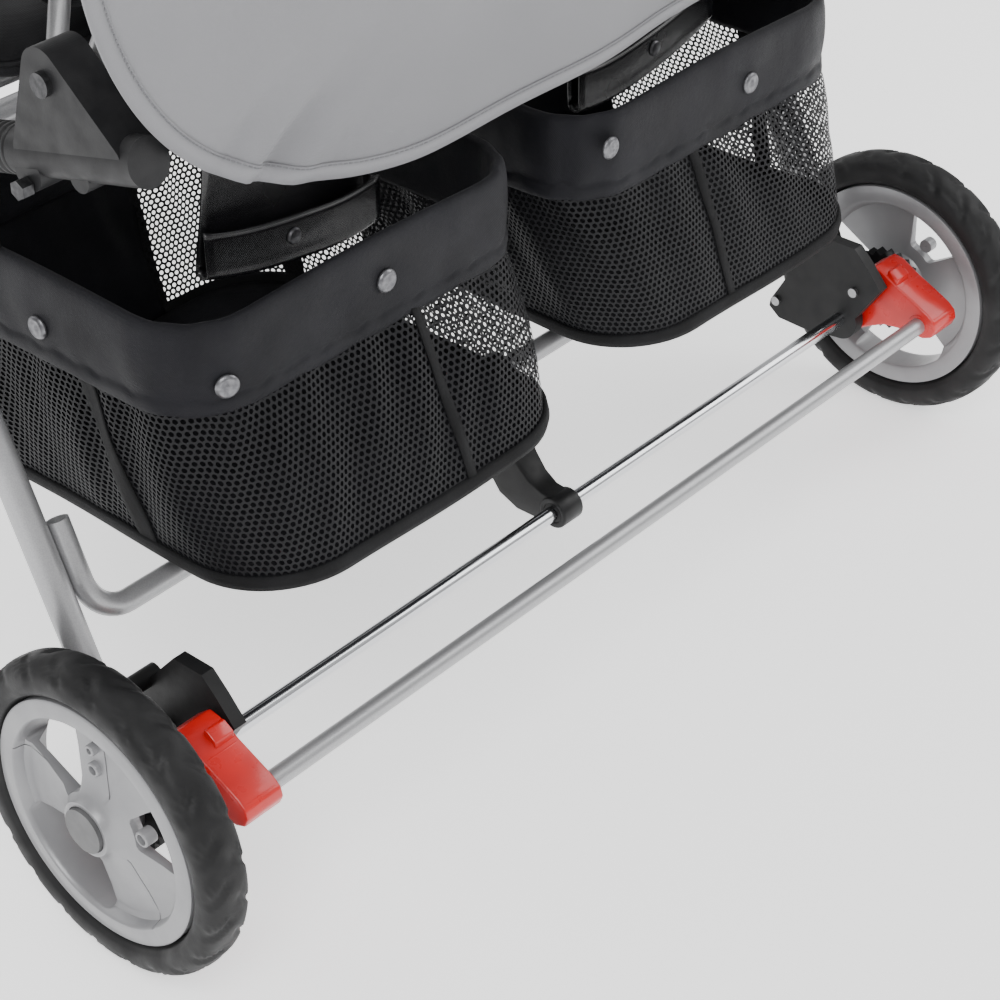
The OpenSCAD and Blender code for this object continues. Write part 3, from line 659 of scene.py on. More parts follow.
def woven(m, pitch, depth):
    """A plain weave on the piece's own UV map, which is in metres, over and under by turns."""
    step = 1 / pitch
    at = node(m, "ShaderNodeMapping", Vector=cloth_at(m), Scale=(step, step, step)).outputs["Vector"]
    parts = node(m, "ShaderNodeSeparateXYZ", Vector=at)
    waves = []
    for axis in ("X", "Y"):
        turned_by = node(m, "ShaderNodeMath", operation="MULTIPLY", i0=parts.outputs[axis], i1=math.pi * 2)
        waves.append(node(m, "ShaderNodeMath", operation="SINE", i0=turned_by.outputs[0]).outputs[0])
    cross = node(m, "ShaderNodeMath", operation="MULTIPLY", i0=waves[0], i1=waves[1])
    slub = node(m, "ShaderNodeTexNoise", Vector=at, Scale=0.35, Detail=3.0)
    height = node(m, "ShaderNodeMath", operation="MULTIPLY_ADD", i0=slub.outputs["Fac"], i1=2.5, i2=cross.outputs[0])
    return bumped(m, height.outputs[0], depth)


band_nylon = finish("band_nylon", (0.008, 0.008, 0.0105), 0.62, Specular_IOR_Level=0.16, Sheen_Weight=0.02)
mottle(band_nylon, (0.0062, 0.0062, 0.0082), (0.0105, 0.0105, 0.0135), 22, detail=5)
rough_range(band_nylon, 0.4, 0.58, 30)
woven(band_nylon, 0.0011, 0.00008)
binding_tape = finish("binding_tape", (0.008, 0.008, 0.009), 0.66, Specular_IOR_Level=0.14, Sheen_Weight=0.02)
mottle(binding_tape, (0.0075, 0.0075, 0.008), (0.0125, 0.0125, 0.0135), 40)
woven(binding_tape, 0.0008, 0.0001)

basket_net = finish("basket_net", (0.0095, 0.0095, 0.011), 0.55, Specular_IOR_Level=0.22)
pitch = 0.0043
cell = (pitch, pitch * math.sqrt(3), 1)
half_cell = tuple(c / 2 for c in cell)
nearest = []
for offset in ((0, 0, 0), half_cell):
    moved = node(basket_net, "ShaderNodeVectorMath", operation="ADD", i0=cloth_at(basket_net), i1=offset)
    wrapped = node(
        basket_net, "ShaderNodeVectorMath", operation="WRAP",
        i0=moved.outputs["Vector"], i1=half_cell, i2=tuple(-c for c in half_cell),
    )  # fmt: skip
    flat = node(basket_net, "ShaderNodeVectorMath", operation="MULTIPLY", i0=wrapped.outputs["Vector"], i1=(1, 1, 0))
    length = node(basket_net, "ShaderNodeVectorMath", operation="LENGTH", i0=flat.outputs["Vector"])
    nearest.append(length.outputs["Value"])
to_hole = node(basket_net, "ShaderNodeMath", operation="MINIMUM", i0=nearest[0], i1=nearest[1])
thread = node(basket_net, "ShaderNodeMapRange", Value=to_hole.outputs[0])
thread.inputs["From Min"].default_value, thread.inputs["From Max"].default_value = 0.00125, 0.00155
feed(basket_net, thread.outputs["Result"], "Alpha")
bumped(basket_net, thread.outputs["Result"], 0.0004)


def ring(x0, x1, y0, y1, radius, count):
    """Points evenly spaced round a rectangle with round corners, starting mid front."""
    corners = [(x1 - radius, y0 + radius, -90), (x1 - radius, y1 - radius, 0),
               (x0 + radius, y1 - radius, 90), (x0 + radius, y0 + radius, 180)]  # fmt: skip
    path = [((x0 + x1) / 2, y0)]
    for cx, cy, start in corners:
        for a in np.radians(np.linspace(start, start + 90, 13)):
            path.append((cx + radius * math.cos(a), cy + radius * math.sin(a)))
    path.append(path[0])
    path = np.array(path)
    gone = np.concatenate([[0], np.cumsum(np.hypot(*np.diff(path, axis=0).T))])
    at = np.linspace(0, gone[-1], count + 1)[:-1]
    return np.stack([np.interp(at, gone, path[:, 0]), np.interp(at, gone, path[:, 1])], 1), gone[-1]


def ring_normals(points):
    ahead = np.roll(points, -1, 0) - np.roll(points, 1, 0)
    n = np.stack([ahead[:, 1], -ahead[:, 0]], 1)
    return n / np.linalg.norm(n, axis=1, keepdims=True)


def cloth_grid(rows, name, around=False, over=False, uv=None):
    """A cloth mesh from rows of points in millimetres; around closes each row, over joins last row to first."""
    rows = np.asarray(rows, float)
    count, wide = rows.shape[:2]
    faces, loops = [], []
    for j in range(count if over else count - 1):
        for i in range(wide if around else wide - 1):
            k, n = (i + 1) % wide, (j + 1) % count
            faces.append((j * wide + i, j * wide + k, n * wide + k, n * wide + i))
            if uv is not None:
                loops += [uv[j][i], uv[j][i + 1], uv[j + 1][i + 1], uv[j + 1][i]]
    mesh = bpy.data.meshes.new(name)
    mesh.from_pydata([tuple(p) for p in rows.reshape(-1, 3) / 1000], [], faces)
    if uv is not None:
        layer = mesh.uv_layers.new(name="cloth")
        layer.data.foreach_set("uv", np.array(loops, np.float32).ravel() / 1000)
    o = bpy.data.objects.new(name, mesh)
    bpy.context.scene.collection.objects.link(o)
    deselect()
    o.select_set(True)
    bpy.context.view_layer.objects.active = o
    bpy.ops.object.shade_smooth()
    return o


def even_uv(rows, around=False, over=False):
    """Lengths along and across the cloth, in millimetres, as its flat cut would give them."""
    rows = np.asarray(rows, float)
    if around:
        rows = np.concatenate([rows, rows[:, :1]], 1)
    if over:
        rows = np.concatenate([rows, rows[:1]], 0)
    along_row = np.linalg.norm(np.diff(rows, axis=1), axis=2)
    u = np.concatenate([[0], np.cumsum(along_row.mean(0))])
    down = np.linalg.norm(np.diff(rows, axis=0), axis=2)
    v = np.concatenate([[0], np.cumsum(down.mean(1))])
    return [[(a, b) for a in u] for b in v]


def soft_noise(u, v, seed):
    """A smooth, fixed wander from a few sines, between about -1 and 1."""
    total = 0
    for k in range(5):
        a = math.sin(seed * 12.9 + k * 7.1) * 3 + 2.2 * (k + 1)
        b = math.cos(seed * 4.3 + k * 3.3) * 2 + 1.1 * (k + 1)
        c = seed * 5.7 + k * 1.9
        total = total + np.sin(a * u + b * v + c) / (k + 1.2)
    return total / 1.9


def slab_cloth(o, thickness):
    m = o.modifiers.new("thickness", "SOLIDIFY")
    m.thickness, m.offset = thickness, 0
    apply_all(o)
    return o


mouth = (22, 298, -264, -3)
band_foot, floor_h = 305, 201
count = 288
top_ring, top_round = ring(*mouth, 45, count)
out_top = ring_normals(top_ring)
round_at = np.linspace(0, 2 * math.pi, count, endpoint=False)


def wall_row(t, push=0.0, seed=1):
    """The net wall's line at t, from 0 behind the band to 1 at the floor."""
    flat = top_ring * (1 - t) + floor_ring * t
    n = out_top * (1 - t) + out_floor * t
    n = n / np.linalg.norm(n, axis=1, keepdims=True)
    belly = 3.5 * math.sin(math.pi * t) ** 0.8
    folds = 3.4 * soft_noise(round_at * 4, t * 2.3, seed) * math.sin(math.pi * min(1, t * 1.05)) ** 0.7
    tucks = 1.6 * np.sin(round_at * 23 + 2.5 * t + seed) * (1 - t) ** 1.5
    flat = flat + n * (belly + folds + tucks + push)[:, None]
    height = (band_foot + 3) * (1 - t) + floor_h * t
    return np.concatenate([flat, np.full((count, 1), height)], 1)


for side_name, sign, seed, floor_edge in (
    ("left", 1, 1.0, (24, 288, -244, 38)), ("right", -1, 2.6, (42, 298, -244, 27)),
):  # fmt: skip
    floor_ring, _ = ring(*floor_edge, 58, count)
    out_floor = ring_normals(floor_ring)
    rows = [wall_row(t, 0, seed) for t in np.linspace(0, 1, 34)]
    wall = cloth_grid(rows, "net", around=True, uv=even_uv(rows, around=True))

    band_profile = [
        (0.2, 303), (2.0, 303.4), (3.0, 306), (3.0, 311.6), (1.0, 313.4), (2.2, 315.4),
        (3.0, 322), (3.2, 335), (2.6, 350), (1.6, 358), (-0.6, 361.6), (-3.4, 362),
        (-6.0, 360.6), (-7.2, 356), (-7.4, 340), (-7, 320), (-6, 306), (-3, 304),
    ]  # fmt: skip
    band_rows = []
    for push, height in band_profile:
        inward = 1 if push > -3.3 else 0.4
        ease = math.sin(math.pi * min(1, max(0, (height - 303) / 59)))
        pucker = 1.2 * soft_noise(round_at * 5, height / 24, seed + 3) * ease * inward
        if 311 < height < 316:
            height = height + 0.9 * np.sin(round_at * 41) + 0.6 * np.sin(round_at * 67 + seed)
        corner = np.abs(out_top[:, 0] * out_top[:, 1]) * 2
        pucker = pucker + 1.3 * corner * np.sin(round_at * 46 + seed) * (1 if push < 1 else 0.35) * inward
        dip = -3.0 * (1 - np.cos(round_at * 4)) * 0.5 * (np.mean(height) > 330)
        flat = top_ring + out_top * (push + pucker)[:, None]
        band_rows.append(np.concatenate([flat, (height + dip)[:, None]], 1))
    band = cloth_grid(band_rows, "band", around=True, over=True, uv=even_uv(band_rows, around=True, over=True))
    m = band.modifiers.new("soften", "SUBSURF")
    m.levels = m.render_levels = 1
    apply_all(band)

    edge_rows = []
    for push, height in ((0.8, 198), (2.0, 198.6), (2.9, 202), (2.3, 206.5), (1.0, 207.6), (-0.6, 206.5), (-1, 200)):
        t = (band_foot + 3 - height) / (band_foot + 3 - floor_h)
        base = wall_row(min(t, 1), push, seed)
        base[:, 2] = height + 1.2 * np.sin(round_at * 5 + seed)
        edge_rows.append(base)
    edge = cloth_grid(edge_rows, "edge", around=True, over=True, uv=even_uv(edge_rows, around=True, over=True))
    floor_rows = []
    centre = floor_ring.mean(0)
    for t in np.linspace(0.02, 1, 16):
        flat = centre + (floor_ring - centre) * t
        sag = -1.5 * (1 - t**3) + 1.2 * soft_noise(round_at * 3, t * 4, seed + 5) * (1 - t)
        floor_rows.append(np.concatenate([flat, (201 + sag)[:, None]], 1))
    floor = cloth_grid(floor_rows, "floor", around=True, uv=even_uv(floor_rows, around=True))
    deselect()
    floor.select_set(True)
    bpy.context.view_layer.objects.active = floor
    bpy.ops.object.mode_set(mode="EDIT")
    bpy.ops.mesh.select_all(action="DESELECT")
    bm = bmesh.from_edit_mesh(floor.data)
    for v in bm.verts:
        v.select = (v.co.xy * 1000 - Vector(centre)).length < 6
    bm.select_flush(True)
    bmesh.update_edit_mesh(floor.data)
    bpy.ops.mesh.merge(type="CENTER")
    bpy.ops.object.mode_set(mode="OBJECT")
    slab_cloth(floor, 0.0012)

    tapes = []
    for start, cells in ((83, 5), (152, 3), (244, 5), (273, 5), (40, 5)):
        span = np.arange(start, start + cells)
        strip = [wall_row(t, 0.9, seed)[span % count] for t in np.linspace(0, 1, 34)]
        tape = cloth_grid(strip, "tape", uv=even_uv(strip))
        slab_cloth(tape, 0.0009)
        tapes.append(tape)
    tape = joined(*tapes)

    lined = np.flatnonzero((top_ring[:, 0] > 114) & (top_ring[:, 1] < -225))
    lined = np.roll(lined, -np.argmax(np.diff(lined) > 1) - 1)
    strip = [wall_row(t, -2.2, seed)[lined] for t in np.linspace(0, 0.98, 30)]
    lining = slab_cloth(cloth_grid(strip, "lining", uv=even_uv(strip)), 0.001)

    hung = []
    for y in (-215, -165):
        strip = []
        for t in np.linspace(0, 1, 8):
            x, z = 293 + 12 * t, 352 + t * 52
            strip.append([(x, y - 12, z), (x + 0.6, y, z), (x, y + 12, z)])
        loop = cloth_grid(strip, "loop", uv=even_uv(strip))
        hung.append(slab_cloth(loop, 0.0014))
    loops = joined(*hung)
    for piece, kind, material, slot_name in (
        (wall, "net", basket_net, "black_mesh"), (band, "band", band_nylon, "black_fabric"),
        (edge, "edge", binding_tape, "black_fabric"), (floor, "floor", band_nylon, "black_fabric"),
        (tape, "tapes", binding_tape, "black_fabric"), (loops, "loops", binding_tape, "webbing"),
        (lining, "lining", band_nylon, "black_fabric"),
    ):  # fmt: skip
        if sign < 0:
            piece.data.transform(Matrix.Scale(-1, 4, (1, 0, 0)))
            piece.data.flip_normals()
        shift(piece, 0, axle_y, 0)
        ready(piece, f"basket_{kind}_{side_name}", material, slot_name, "chassis")
    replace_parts(wall, f"basket_{side_name}")
snap_metal = finish("snap_metal", (0.16, 0.16, 0.17), 0.36, 0.8)
mottle(snap_metal, (0.12, 0.12, 0.128), (0.21, 0.21, 0.22), 300)
rough_range(snap_metal, 0.28, 0.5, 200)
grain(snap_metal, 800, 0.00003)
snaps = []
for x, y, z, facing in (
    (270.2, -6.4, 321.5, 67.5), (152, -3, 334.7, 90), (-44, -3, 340.6, 90), (-185.3, -3, 331.9, 90),
    (298, -121, 326, 0), (298, -225, 326, 0), (-298, -121, 326, 180), (-298, -225, 326, 180),
):  # fmt: skip
    stud = turned(
        [
            (0, 0.01), (0, 7), (1.2, 7.2), (2.2, 6.4), (2.9, 5.2),
            (2.5, 4.2), (2.4, 2.5), (3.1, 1.2), (3.2, 0.01),
        ],
        32,
    )  # fmt: skip
    round_edges(stud, 0.0001, 1)
    stud.data.transform(Matrix.Translation((0.0029, 0, 0)))
    stud.data.transform(Matrix.Rotation(math.radians(facing), 4, "Z"))
    shift(stud, x / 1000, y / 1000 + axle_y, z / 1000)
    snaps.append(stud)
snaps = joined(*snaps)
ready(snaps, "basket_snap_studs", snap_metal, "snap_metal", "chassis")
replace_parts(snaps, "basket_snaps")


# ---------------------------------------------------------------- seat straps
# A wide strap of coated black webbing hangs from the rear seat tube into each basket,
# turned under at its wider foot, with a zinc rivet through the fold.
coated_strap = finish("coated_strap", (0.009, 0.009, 0.01), 0.2, Coat_Weight=0.4, Coat_Roughness=0.1)
mottle(coated_strap, (0.007, 0.007, 0.008), (0.014, 0.014, 0.016), 30)
rough_range(coated_strap, 0.14, 0.3, 26)
woven(coated_strap, 0.0016, 0.00005)
for side_name, sign in (("left", 1), ("right", -1)):
    strip = []
    for t in np.linspace(0, 1, 26):
        line = []
        for s in np.linspace(-1, 1, 25):
            height = 450 - t * (118 - 9 * s) + 7 * abs(s) ** 3 * t
            bow = 6 * math.sin(math.pi * t) * (1 - s * s) + 1.2 * math.sin(3 * s + 5 * t)
            wide = 62 + 12 * t * t * (s > 0)
            line.append((153 + wide * s, -72.5 - bow + 2 * t, height))
        strip.append(line)
    turn = 4.5
    for a in np.radians(np.linspace(0, 180, 9)):
        line = []
        for s in np.linspace(-1, 1, 25):
            y = -70.5 - 1.2 * math.sin(3 * s + 5) + turn * (1 - math.cos(a))
            z = 332 + 9 * s + 7 * abs(s) ** 3 - turn * math.sin(a) * 0.9
            line.append((153 + (62 + 12 * (s > 0)) * s, y, z))
        strip.append(line)
    for t in np.linspace(0.1, 1, 6):
        line = []
        for s in np.linspace(-1, 1, 25):
            z = 333 + 9 * s + 7 * abs(s) ** 3 + 24 * t
            line.append((153 + (62 + 12 * (s > 0)) * s, -62 - math.sin(3 * s + 5), z))
        strip.append(line)
    strap = cloth_grid(strip, "strap", uv=even_uv(strip))
    slab_cloth(strap, 0.0018)
    rivet = turned([(0, 0.01), (0, 5), (0.9, 5.1), (1.8, 4.2), (2.3, 2.2), (2.5, 0.01)], 28)
    rivet.data.transform(Matrix.Rotation(math.radians(90), 4, "Z"))
    shift(rivet, 0.163, -0.0605, 0.346)
    for piece, kind, material, slot_name in (
        (strap, "strap", coated_strap, "webbing"), (rivet, "strap_rivet", snap_metal, "snap_metal"),
    ):  # fmt: skip
        if sign < 0:
            piece.data.transform(Matrix.Scale(-1, 4, (1, 0, 0)))
            piece.data.flip_normals()
        shift(piece, 0, axle_y, 0)
        ready(piece, f"{kind}_{side_name}", material, slot_name, "chassis")
    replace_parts(strap, "seat_straps")


# ---------------------------------------------------------------- fold brackets
# The grey nylon knuckle on each side rail takes the foot of the push bar. A ribbed black
# sleeve covers the rail ahead of it; the loop of black webbing that ties it to the seat is not made.
knuckle_nylon = finish("knuckle_nylon", (0.013, 0.013, 0.014), 0.5, Specular_IOR_Level=0.28)
mottle(knuckle_nylon, (0.011, 0.011, 0.012), (0.018, 0.018, 0.019), 70)
rough_range(knuckle_nylon, 0.38, 0.56, 90)
grain(knuckle_nylon, 1300, 0.00005)
give(knuckle_nylon, "fold_bracket_left", "fold_bracket_right")
rail_lean = math.radians(14)
for side_name, sign in (("left", 1), ("right", -1)):
    profile = []
    length = 64
    for k in range(13):
        x = -length + k * length / 12
        profile += [(x, 12.6), (x + 1.6, 13.5), (x + 3.4, 13.5), (x + 4.6, 12.6)]
    profile += [(0, 12.2), (0, 9.8), (-length, 9.8)]
    sleeve = turned(profile, 40)
    round_edges(sleeve, 0.0003, 1)
    sleeve.data.transform(Matrix.Rotation(math.radians(90), 4, "Z"))
    sleeve.data.transform(Matrix.Rotation(rail_lean, 4, "X"))
    rail_h = 0.433 + (-0.086 + 0.172) * math.tan(rail_lean)
    shift(sleeve, sign * 0.323, axle_y - 0.086, rail_h)
    ready(sleeve, f"rail_sleeve_{side_name}", black_nylon, "black_plastic", "chassis")


# ---------------------------------------------------------------- rear drape
# A sheet of grey coated polyester, sewn to the push bar's tubes and hanging behind the
# backrests, its two lower corners cut to large rounds and its whole edge hemmed twice.
grey_polyester = finish("grey_polyester", (0.22, 0.22, 0.232), 0.6, Sheen_Weight=0.06, Sheen_Roughness=0.5)
mottle(grey_polyester, (0.208, 0.208, 0.22), (0.236, 0.236, 0.248), 12, detail=5, low=0.3, high=0.7)
rough_range(grey_polyester, 0.54, 0.68, 24)
woven(grey_polyester, 0.0008, 0.00006)
hem_thread = finish("hem_thread", (0.15, 0.15, 0.16), 0.7)
mottle(hem_thread, (0.13, 0.13, 0.14), (0.18, 0.18, 0.19), 500)
grain(hem_thread, 2500, 0.00004)

hem_z, top_z = 400.0, 905.0


def drape_half(z):
    """Half the drape's width at a height, in millimetres."""
    h = z - hem_z
    if h < 283:
        return 112 + math.sqrt(max(283**2 - (283 - h) ** 2, 0))
    return 395 - (395 - 306) * min(1, (h - 283) / 130)


def drape_back(x, z):
    """How far back the drape hangs at a point of its front view: a slope, a knee and soft folds."""
    low = -8 + (z - 400) * math.tan(math.radians(16))
    high = 71.9 + (z - 678.8) / math.tan(math.radians(60))
    mix = 1 / (1 + math.exp(-(z - 678.8) / 16))
    base = low * (1 - mix) + high * mix
    fade = max(0, 1 - (z - 400) / 420)
    folds = 5.5 * math.sin(x / 62 + 0.9 * math.sin(z / 130) + 0.6) * fade**1.2
    folds += 2.4 * math.sin(x / 27 - z / 90 + 1.3) * fade**2
    folds += 2.2 * math.sin((x * 0.6 + z) / 58 + 2) * (1 - fade * 0.5)
    d = math.hypot(x - 232, (z - 452) * 1.2)
    folds += 6.5 * math.exp(-((d / 46) ** 2)) * math.sin((x - 232 + (z - 452) * 0.8) / 9.5)
    d = math.hypot(x + 210, (z - 460) * 1.2)
    folds += 5 * math.exp(-((d / 50) ** 2)) * math.sin((x + 210 - (z - 460) * 0.8) / 10)
    return base + 3.5 + folds


across, rows = 150, []
heights = list(hem_z + 283 * (1 - np.cos(np.linspace(0, math.pi / 2, 78)))) + list(np.linspace(686, top_z, 52))
for z in heights:
    half = drape_half(z)
    rows.append([(half * s, drape_back(half * s, z), z) for s in np.linspace(-1, 1, across)])
drape = cloth_grid(rows, "drape", uv=even_uv(rows))
slab_cloth(drape, 0.0014)


def drape_border(inset, width, proud):
    """A band that runs along the drape's free edge, down one side, round the foot and up the other."""
    line = [(-drape_half(z), z) for z in np.linspace(895, 690, 30)]
    line += [(-112 - 283 * math.cos(a), 683 - 283 * math.sin(a)) for a in np.linspace(0, math.pi / 2, 60)]
    line += [(x, hem_z) for x in np.linspace(-105, 105, 26)]
    line += [(112 + 283 * math.cos(a), 683 - 283 * math.sin(a)) for a in np.linspace(math.pi / 2, 0, 60)]
    line += [(drape_half(z), z) for z in np.linspace(690, 895, 30)]
    line = np.array(line)
    ahead = np.gradient(line, axis=0)
    ahead /= np.linalg.norm(ahead, axis=1, keepdims=True)
    n = np.stack([-ahead[:, 1], ahead[:, 0]], 1)
    strip = []
    for w in (inset, inset + width * 0.5, inset + width):
        p = line + n * w
        strip.append([(x, drape_back(x, z) + proud, z) for x, z in p])
    return strip


hem_rows = drape_border(-0.6, 10.5, 1.3)
hem = cloth_grid(hem_rows, "hem", uv=even_uv(hem_rows))
slab_cloth(hem, 0.0012)
stitches = []
seam = np.array(drape_border(8.2, 1.0, 2.15))
seam = seam.mean(0)
gone = np.concatenate([[0], np.cumsum(np.linalg.norm(np.diff(seam, axis=0), axis=1))])
for start in np.arange(2, gone[-1] - 4, 3.6):
    ends = [np.array([np.interp(start + d, gone, seam[:, k]) for k in range(3)]) for d in (0, 2.5)]
    run = (ends[1] - ends[0]) / np.linalg.norm(ends[1] - ends[0])
    out = np.array([0.0, 1.0, 0.0])
    wide = np.cross(run, out) * 0.42
    lift = out * 0.32
    stitches.append([[tuple(end + o) for o in (wide, lift, -wide)] for end in ends])
points, faces = [], []
for a, b in stitches:
    i = len(points)
    points += a + b
    faces += [(i, i + 1, i + 4, i + 3), (i + 1, i + 2, i + 5, i + 4), (i + 2, i, i + 3, i + 5)]
    faces += [(i, i + 2, i + 1), (i + 3, i + 4, i + 5)]
mesh = bpy.data.meshes.new("stitches")
mesh.from_pydata([tuple(c / 1000 for c in p) for p in points], [], faces)
hem_stitches = bpy.data.objects.new("stitches", mesh)
bpy.context.scene.collection.objects.link(hem_stitches)
for piece, name, material in (
    (drape, "drape_sheet", grey_polyester), (hem, "drape_hem", grey_polyester),
    (hem_stitches, "drape_hem_stitches", hem_thread),
):  # fmt: skip
    shift(piece, 0, axle_y, 0)
    ready(piece, name, material, "grey_fabric", "handle_frame")
    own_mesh(piece)
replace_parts(drape, "rear_drape")


# ---------------------------------------------------------------- seat cushions, backrests and calf rests
# Foam slabs in black polyester covers: crowned, pulled in between their corners, quilted
# across by sewn channels and edged with a thin piping cord of the same cloth.
seat_polyester = finish(
    "seat_polyester", (0.0095, 0.0095, 0.011), 0.7,
    Specular_IOR_Level=0.18, Sheen_Weight=0.04, Sheen_Roughness=0.5,
)  # fmt: skip
mottle(seat_polyester, (0.009, 0.009, 0.01), (0.016, 0.016, 0.018), 26, detail=5)
rough_range(seat_polyester, 0.58, 0.76, 34)
cloth_noise = node(
    seat_polyester, "ShaderNodeTexVoronoi", Vector=place_of(seat_polyester), Scale=820.0, Randomness=0.25
)
bumped(seat_polyester, cloth_noise.outputs["Distance"], 0.00018)
piping_cord = finish("piping_cord", (0.012, 0.012, 0.0135), 0.6, Specular_IOR_Level=0.2)
mottle(piping_cord, (0.01, 0.01, 0.0112), (0.016, 0.016, 0.0175), 300)
grain(piping_cord, 2200, 0.00008)


def foam_block(w, l, t, crown):
    """A cushion blank lying on its back at the origin, w across, l along and t thick, in millimetres."""
    deselect()
    bpy.ops.mesh.primitive_cube_add(size=2)
    o = bpy.context.object
    bpy.ops.object.mode_set(mode="EDIT")
    bpy.ops.mesh.select_all(action="SELECT")
    bpy.ops.mesh.subdivide(number_cuts=34)
    bpy.ops.object.mode_set(mode="OBJECT")
    count = len(o.data.vertices)
    co = np.empty(count * 3, np.float32)
    o.data.vertices.foreach_get("co", co)
    p = co.reshape(-1, 3).astype(float)
    flat = np.maximum(np.abs(p[:, 0]), np.abs(p[:, 1]))
    keep = (np.abs(p[:, :2]) ** 7).sum(1) ** (1 / 7)
    p[:, :2] *= (flat / np.maximum(keep, 1e-6))[:, None]
    rim = np.clip((flat - 0.72) / 0.28, 0, 1)
    roundness = np.sqrt(np.clip(1 - rim**2.4, 0, 1))
    high = np.where(p[:, 2] > 0, 0.5 + 0.5 * roundness, -0.5 - 0.42 * roundness) * np.abs(p[:, 2])
    bow = 1 - 0.018 * (1 - p[:, 1] ** 2) * (np.abs(p[:, 0]) > 0.5) * np.abs(p[:, 0])
    x = p[:, 0] * bow * w / 2 * (1 - 0.02 * (1 - np.abs(p[:, 2])))
    y = p[:, 1] * l / 2
    crowned = np.where(p[:, 2] > 0, crown * (1 - p[:, 0] ** 2) * (1 - p[:, 1] ** 2), 0)
    z = t / 2 + high * t / 2 * 1.0 + crowned
    co = np.stack([x, y, z], 1) / 1000
    o.data.vertices.foreach_set("co", co.astype(np.float32).ravel())
    o.data.update()
    return o


def stuffed(o, pressure, cap):
    """The blank in a tight cover: cloth blown up a little, no point moving further than cap millimetres."""
    deselect()
    o.select_set(True)
    bpy.context.view_layer.objects.active = o
    m = o.modifiers.new("even", "REMESH")
    m.mode, m.voxel_size = "VOXEL", 0.0055
    apply_all(o)
    before = np.empty(len(o.data.vertices) * 3, np.float32)
    o.data.vertices.foreach_get("co", before)
    m = o.modifiers.new("cover", "CLOTH")
    m.settings.use_pressure = True
    m.settings.uniform_pressure_force = pressure
    m.settings.effector_weights.gravity = 0
    m.settings.tension_stiffness = m.settings.compression_stiffness = 12
    m.settings.bending_stiffness = 0.6
    m.settings.quality = 6
    m.point_cache.frame_start, m.point_cache.frame_end = 1, 20
    for step in range(1, 21):
        bpy.context.scene.frame_set(step)
    apply_all(o)
    bpy.context.scene.frame_set(1)
    after = np.empty(len(o.data.vertices) * 3, np.float32)
    o.data.vertices.foreach_get("co", after)
    move = (after - before).reshape(-1, 3)
    far = np.linalg.norm(move, axis=1, keepdims=True)
    move *= np.minimum(1, cap / 1000 / np.maximum(far, 1e-9))
    o.data.vertices.foreach_set("co", (before.reshape(-1, 3) + move).ravel())
    o.data.update()
    m = o.modifiers.new("soften", "SUBSURF")
    m.levels = m.render_levels = 1
    apply_all(o)
    bpy.ops.object.shade_smooth()
    return o


def channels(o, lines, depth, width):
    """Sews channels across a cushion's face at those places along it, and gathers the cloth beside them."""
    count = len(o.data.vertices)
    co = np.empty(count * 3, np.float32)
    o.data.vertices.foreach_get("co", co)
    p = co.reshape(-1, 3).astype(float) * 1000
    top = p[:, 2].max()
    face = np.clip((p[:, 2] - top * 0.45) / (top * 0.4), 0, 1)
    for y in lines:
        near = p[:, 1] - y
        p[:, 2] -= depth * np.exp(-((near / width) ** 2)) * face
        p[:, 2] += 0.6 * np.exp(-((near / (width * 3.5)) ** 2)) * np.sin(p[:, 0] / 4.1 + y) * face
    p[:, 2] += 0.7 * soft_noise(p[:, 0] / 60, p[:, 1] / 60, 4.2) * face
    o.data.vertices.foreach_set("co", (p / 1000).astype(np.float32).ravel())
    o.data.update()
    return o


def piping(cushion, w, l, radius, height, thick):
    """A cord sewn round a cushion's edge where its cover turns down, in millimetres."""
    points, _ = ring(-w / 2, w / 2, -l / 2, l / 2, radius, 120)
    reach = []
    for x, y in points:
        out = Vector((x, y, 0)).normalized()
        hit, at, _, _ = cushion.ray_cast(out * 0.4 + Vector((0, 0, height / 1000)), -out)
        reach.append(((at.xy.length * 1000 if hit else math.hypot(x, y)) + thick * 0.25) / math.hypot(x, y))
    reach = np.array(reach)
    reach = (np.roll(reach, 1) + reach * 2 + np.roll(reach, -1)) / 4
    points = points * reach[:, None]
    curve = bpy.data.curves.new("piping", "CURVE")
    curve.dimensions = "3D"
    curve.bevel_depth, curve.bevel_resolution = thick / 1000, 3
    line = curve.splines.new("POLY")
    line.points.add(len(points) - 1)
    for i, (x, y) in enumerate(points):
        line.points[i].co = (x / 1000, y / 1000, height / 1000, 1)
    line.use_cyclic_u = True
    o = bpy.data.objects.new("piping", curve)
    bpy.context.scene.collection.objects.link(o)
    deselect()
    o.select_set(True)
    bpy.context.view_layer.objects.active = o
    bpy.ops.object.convert(target="MESH")
    o = bpy.context.object
    bpy.ops.object.shade_smooth()
    return o


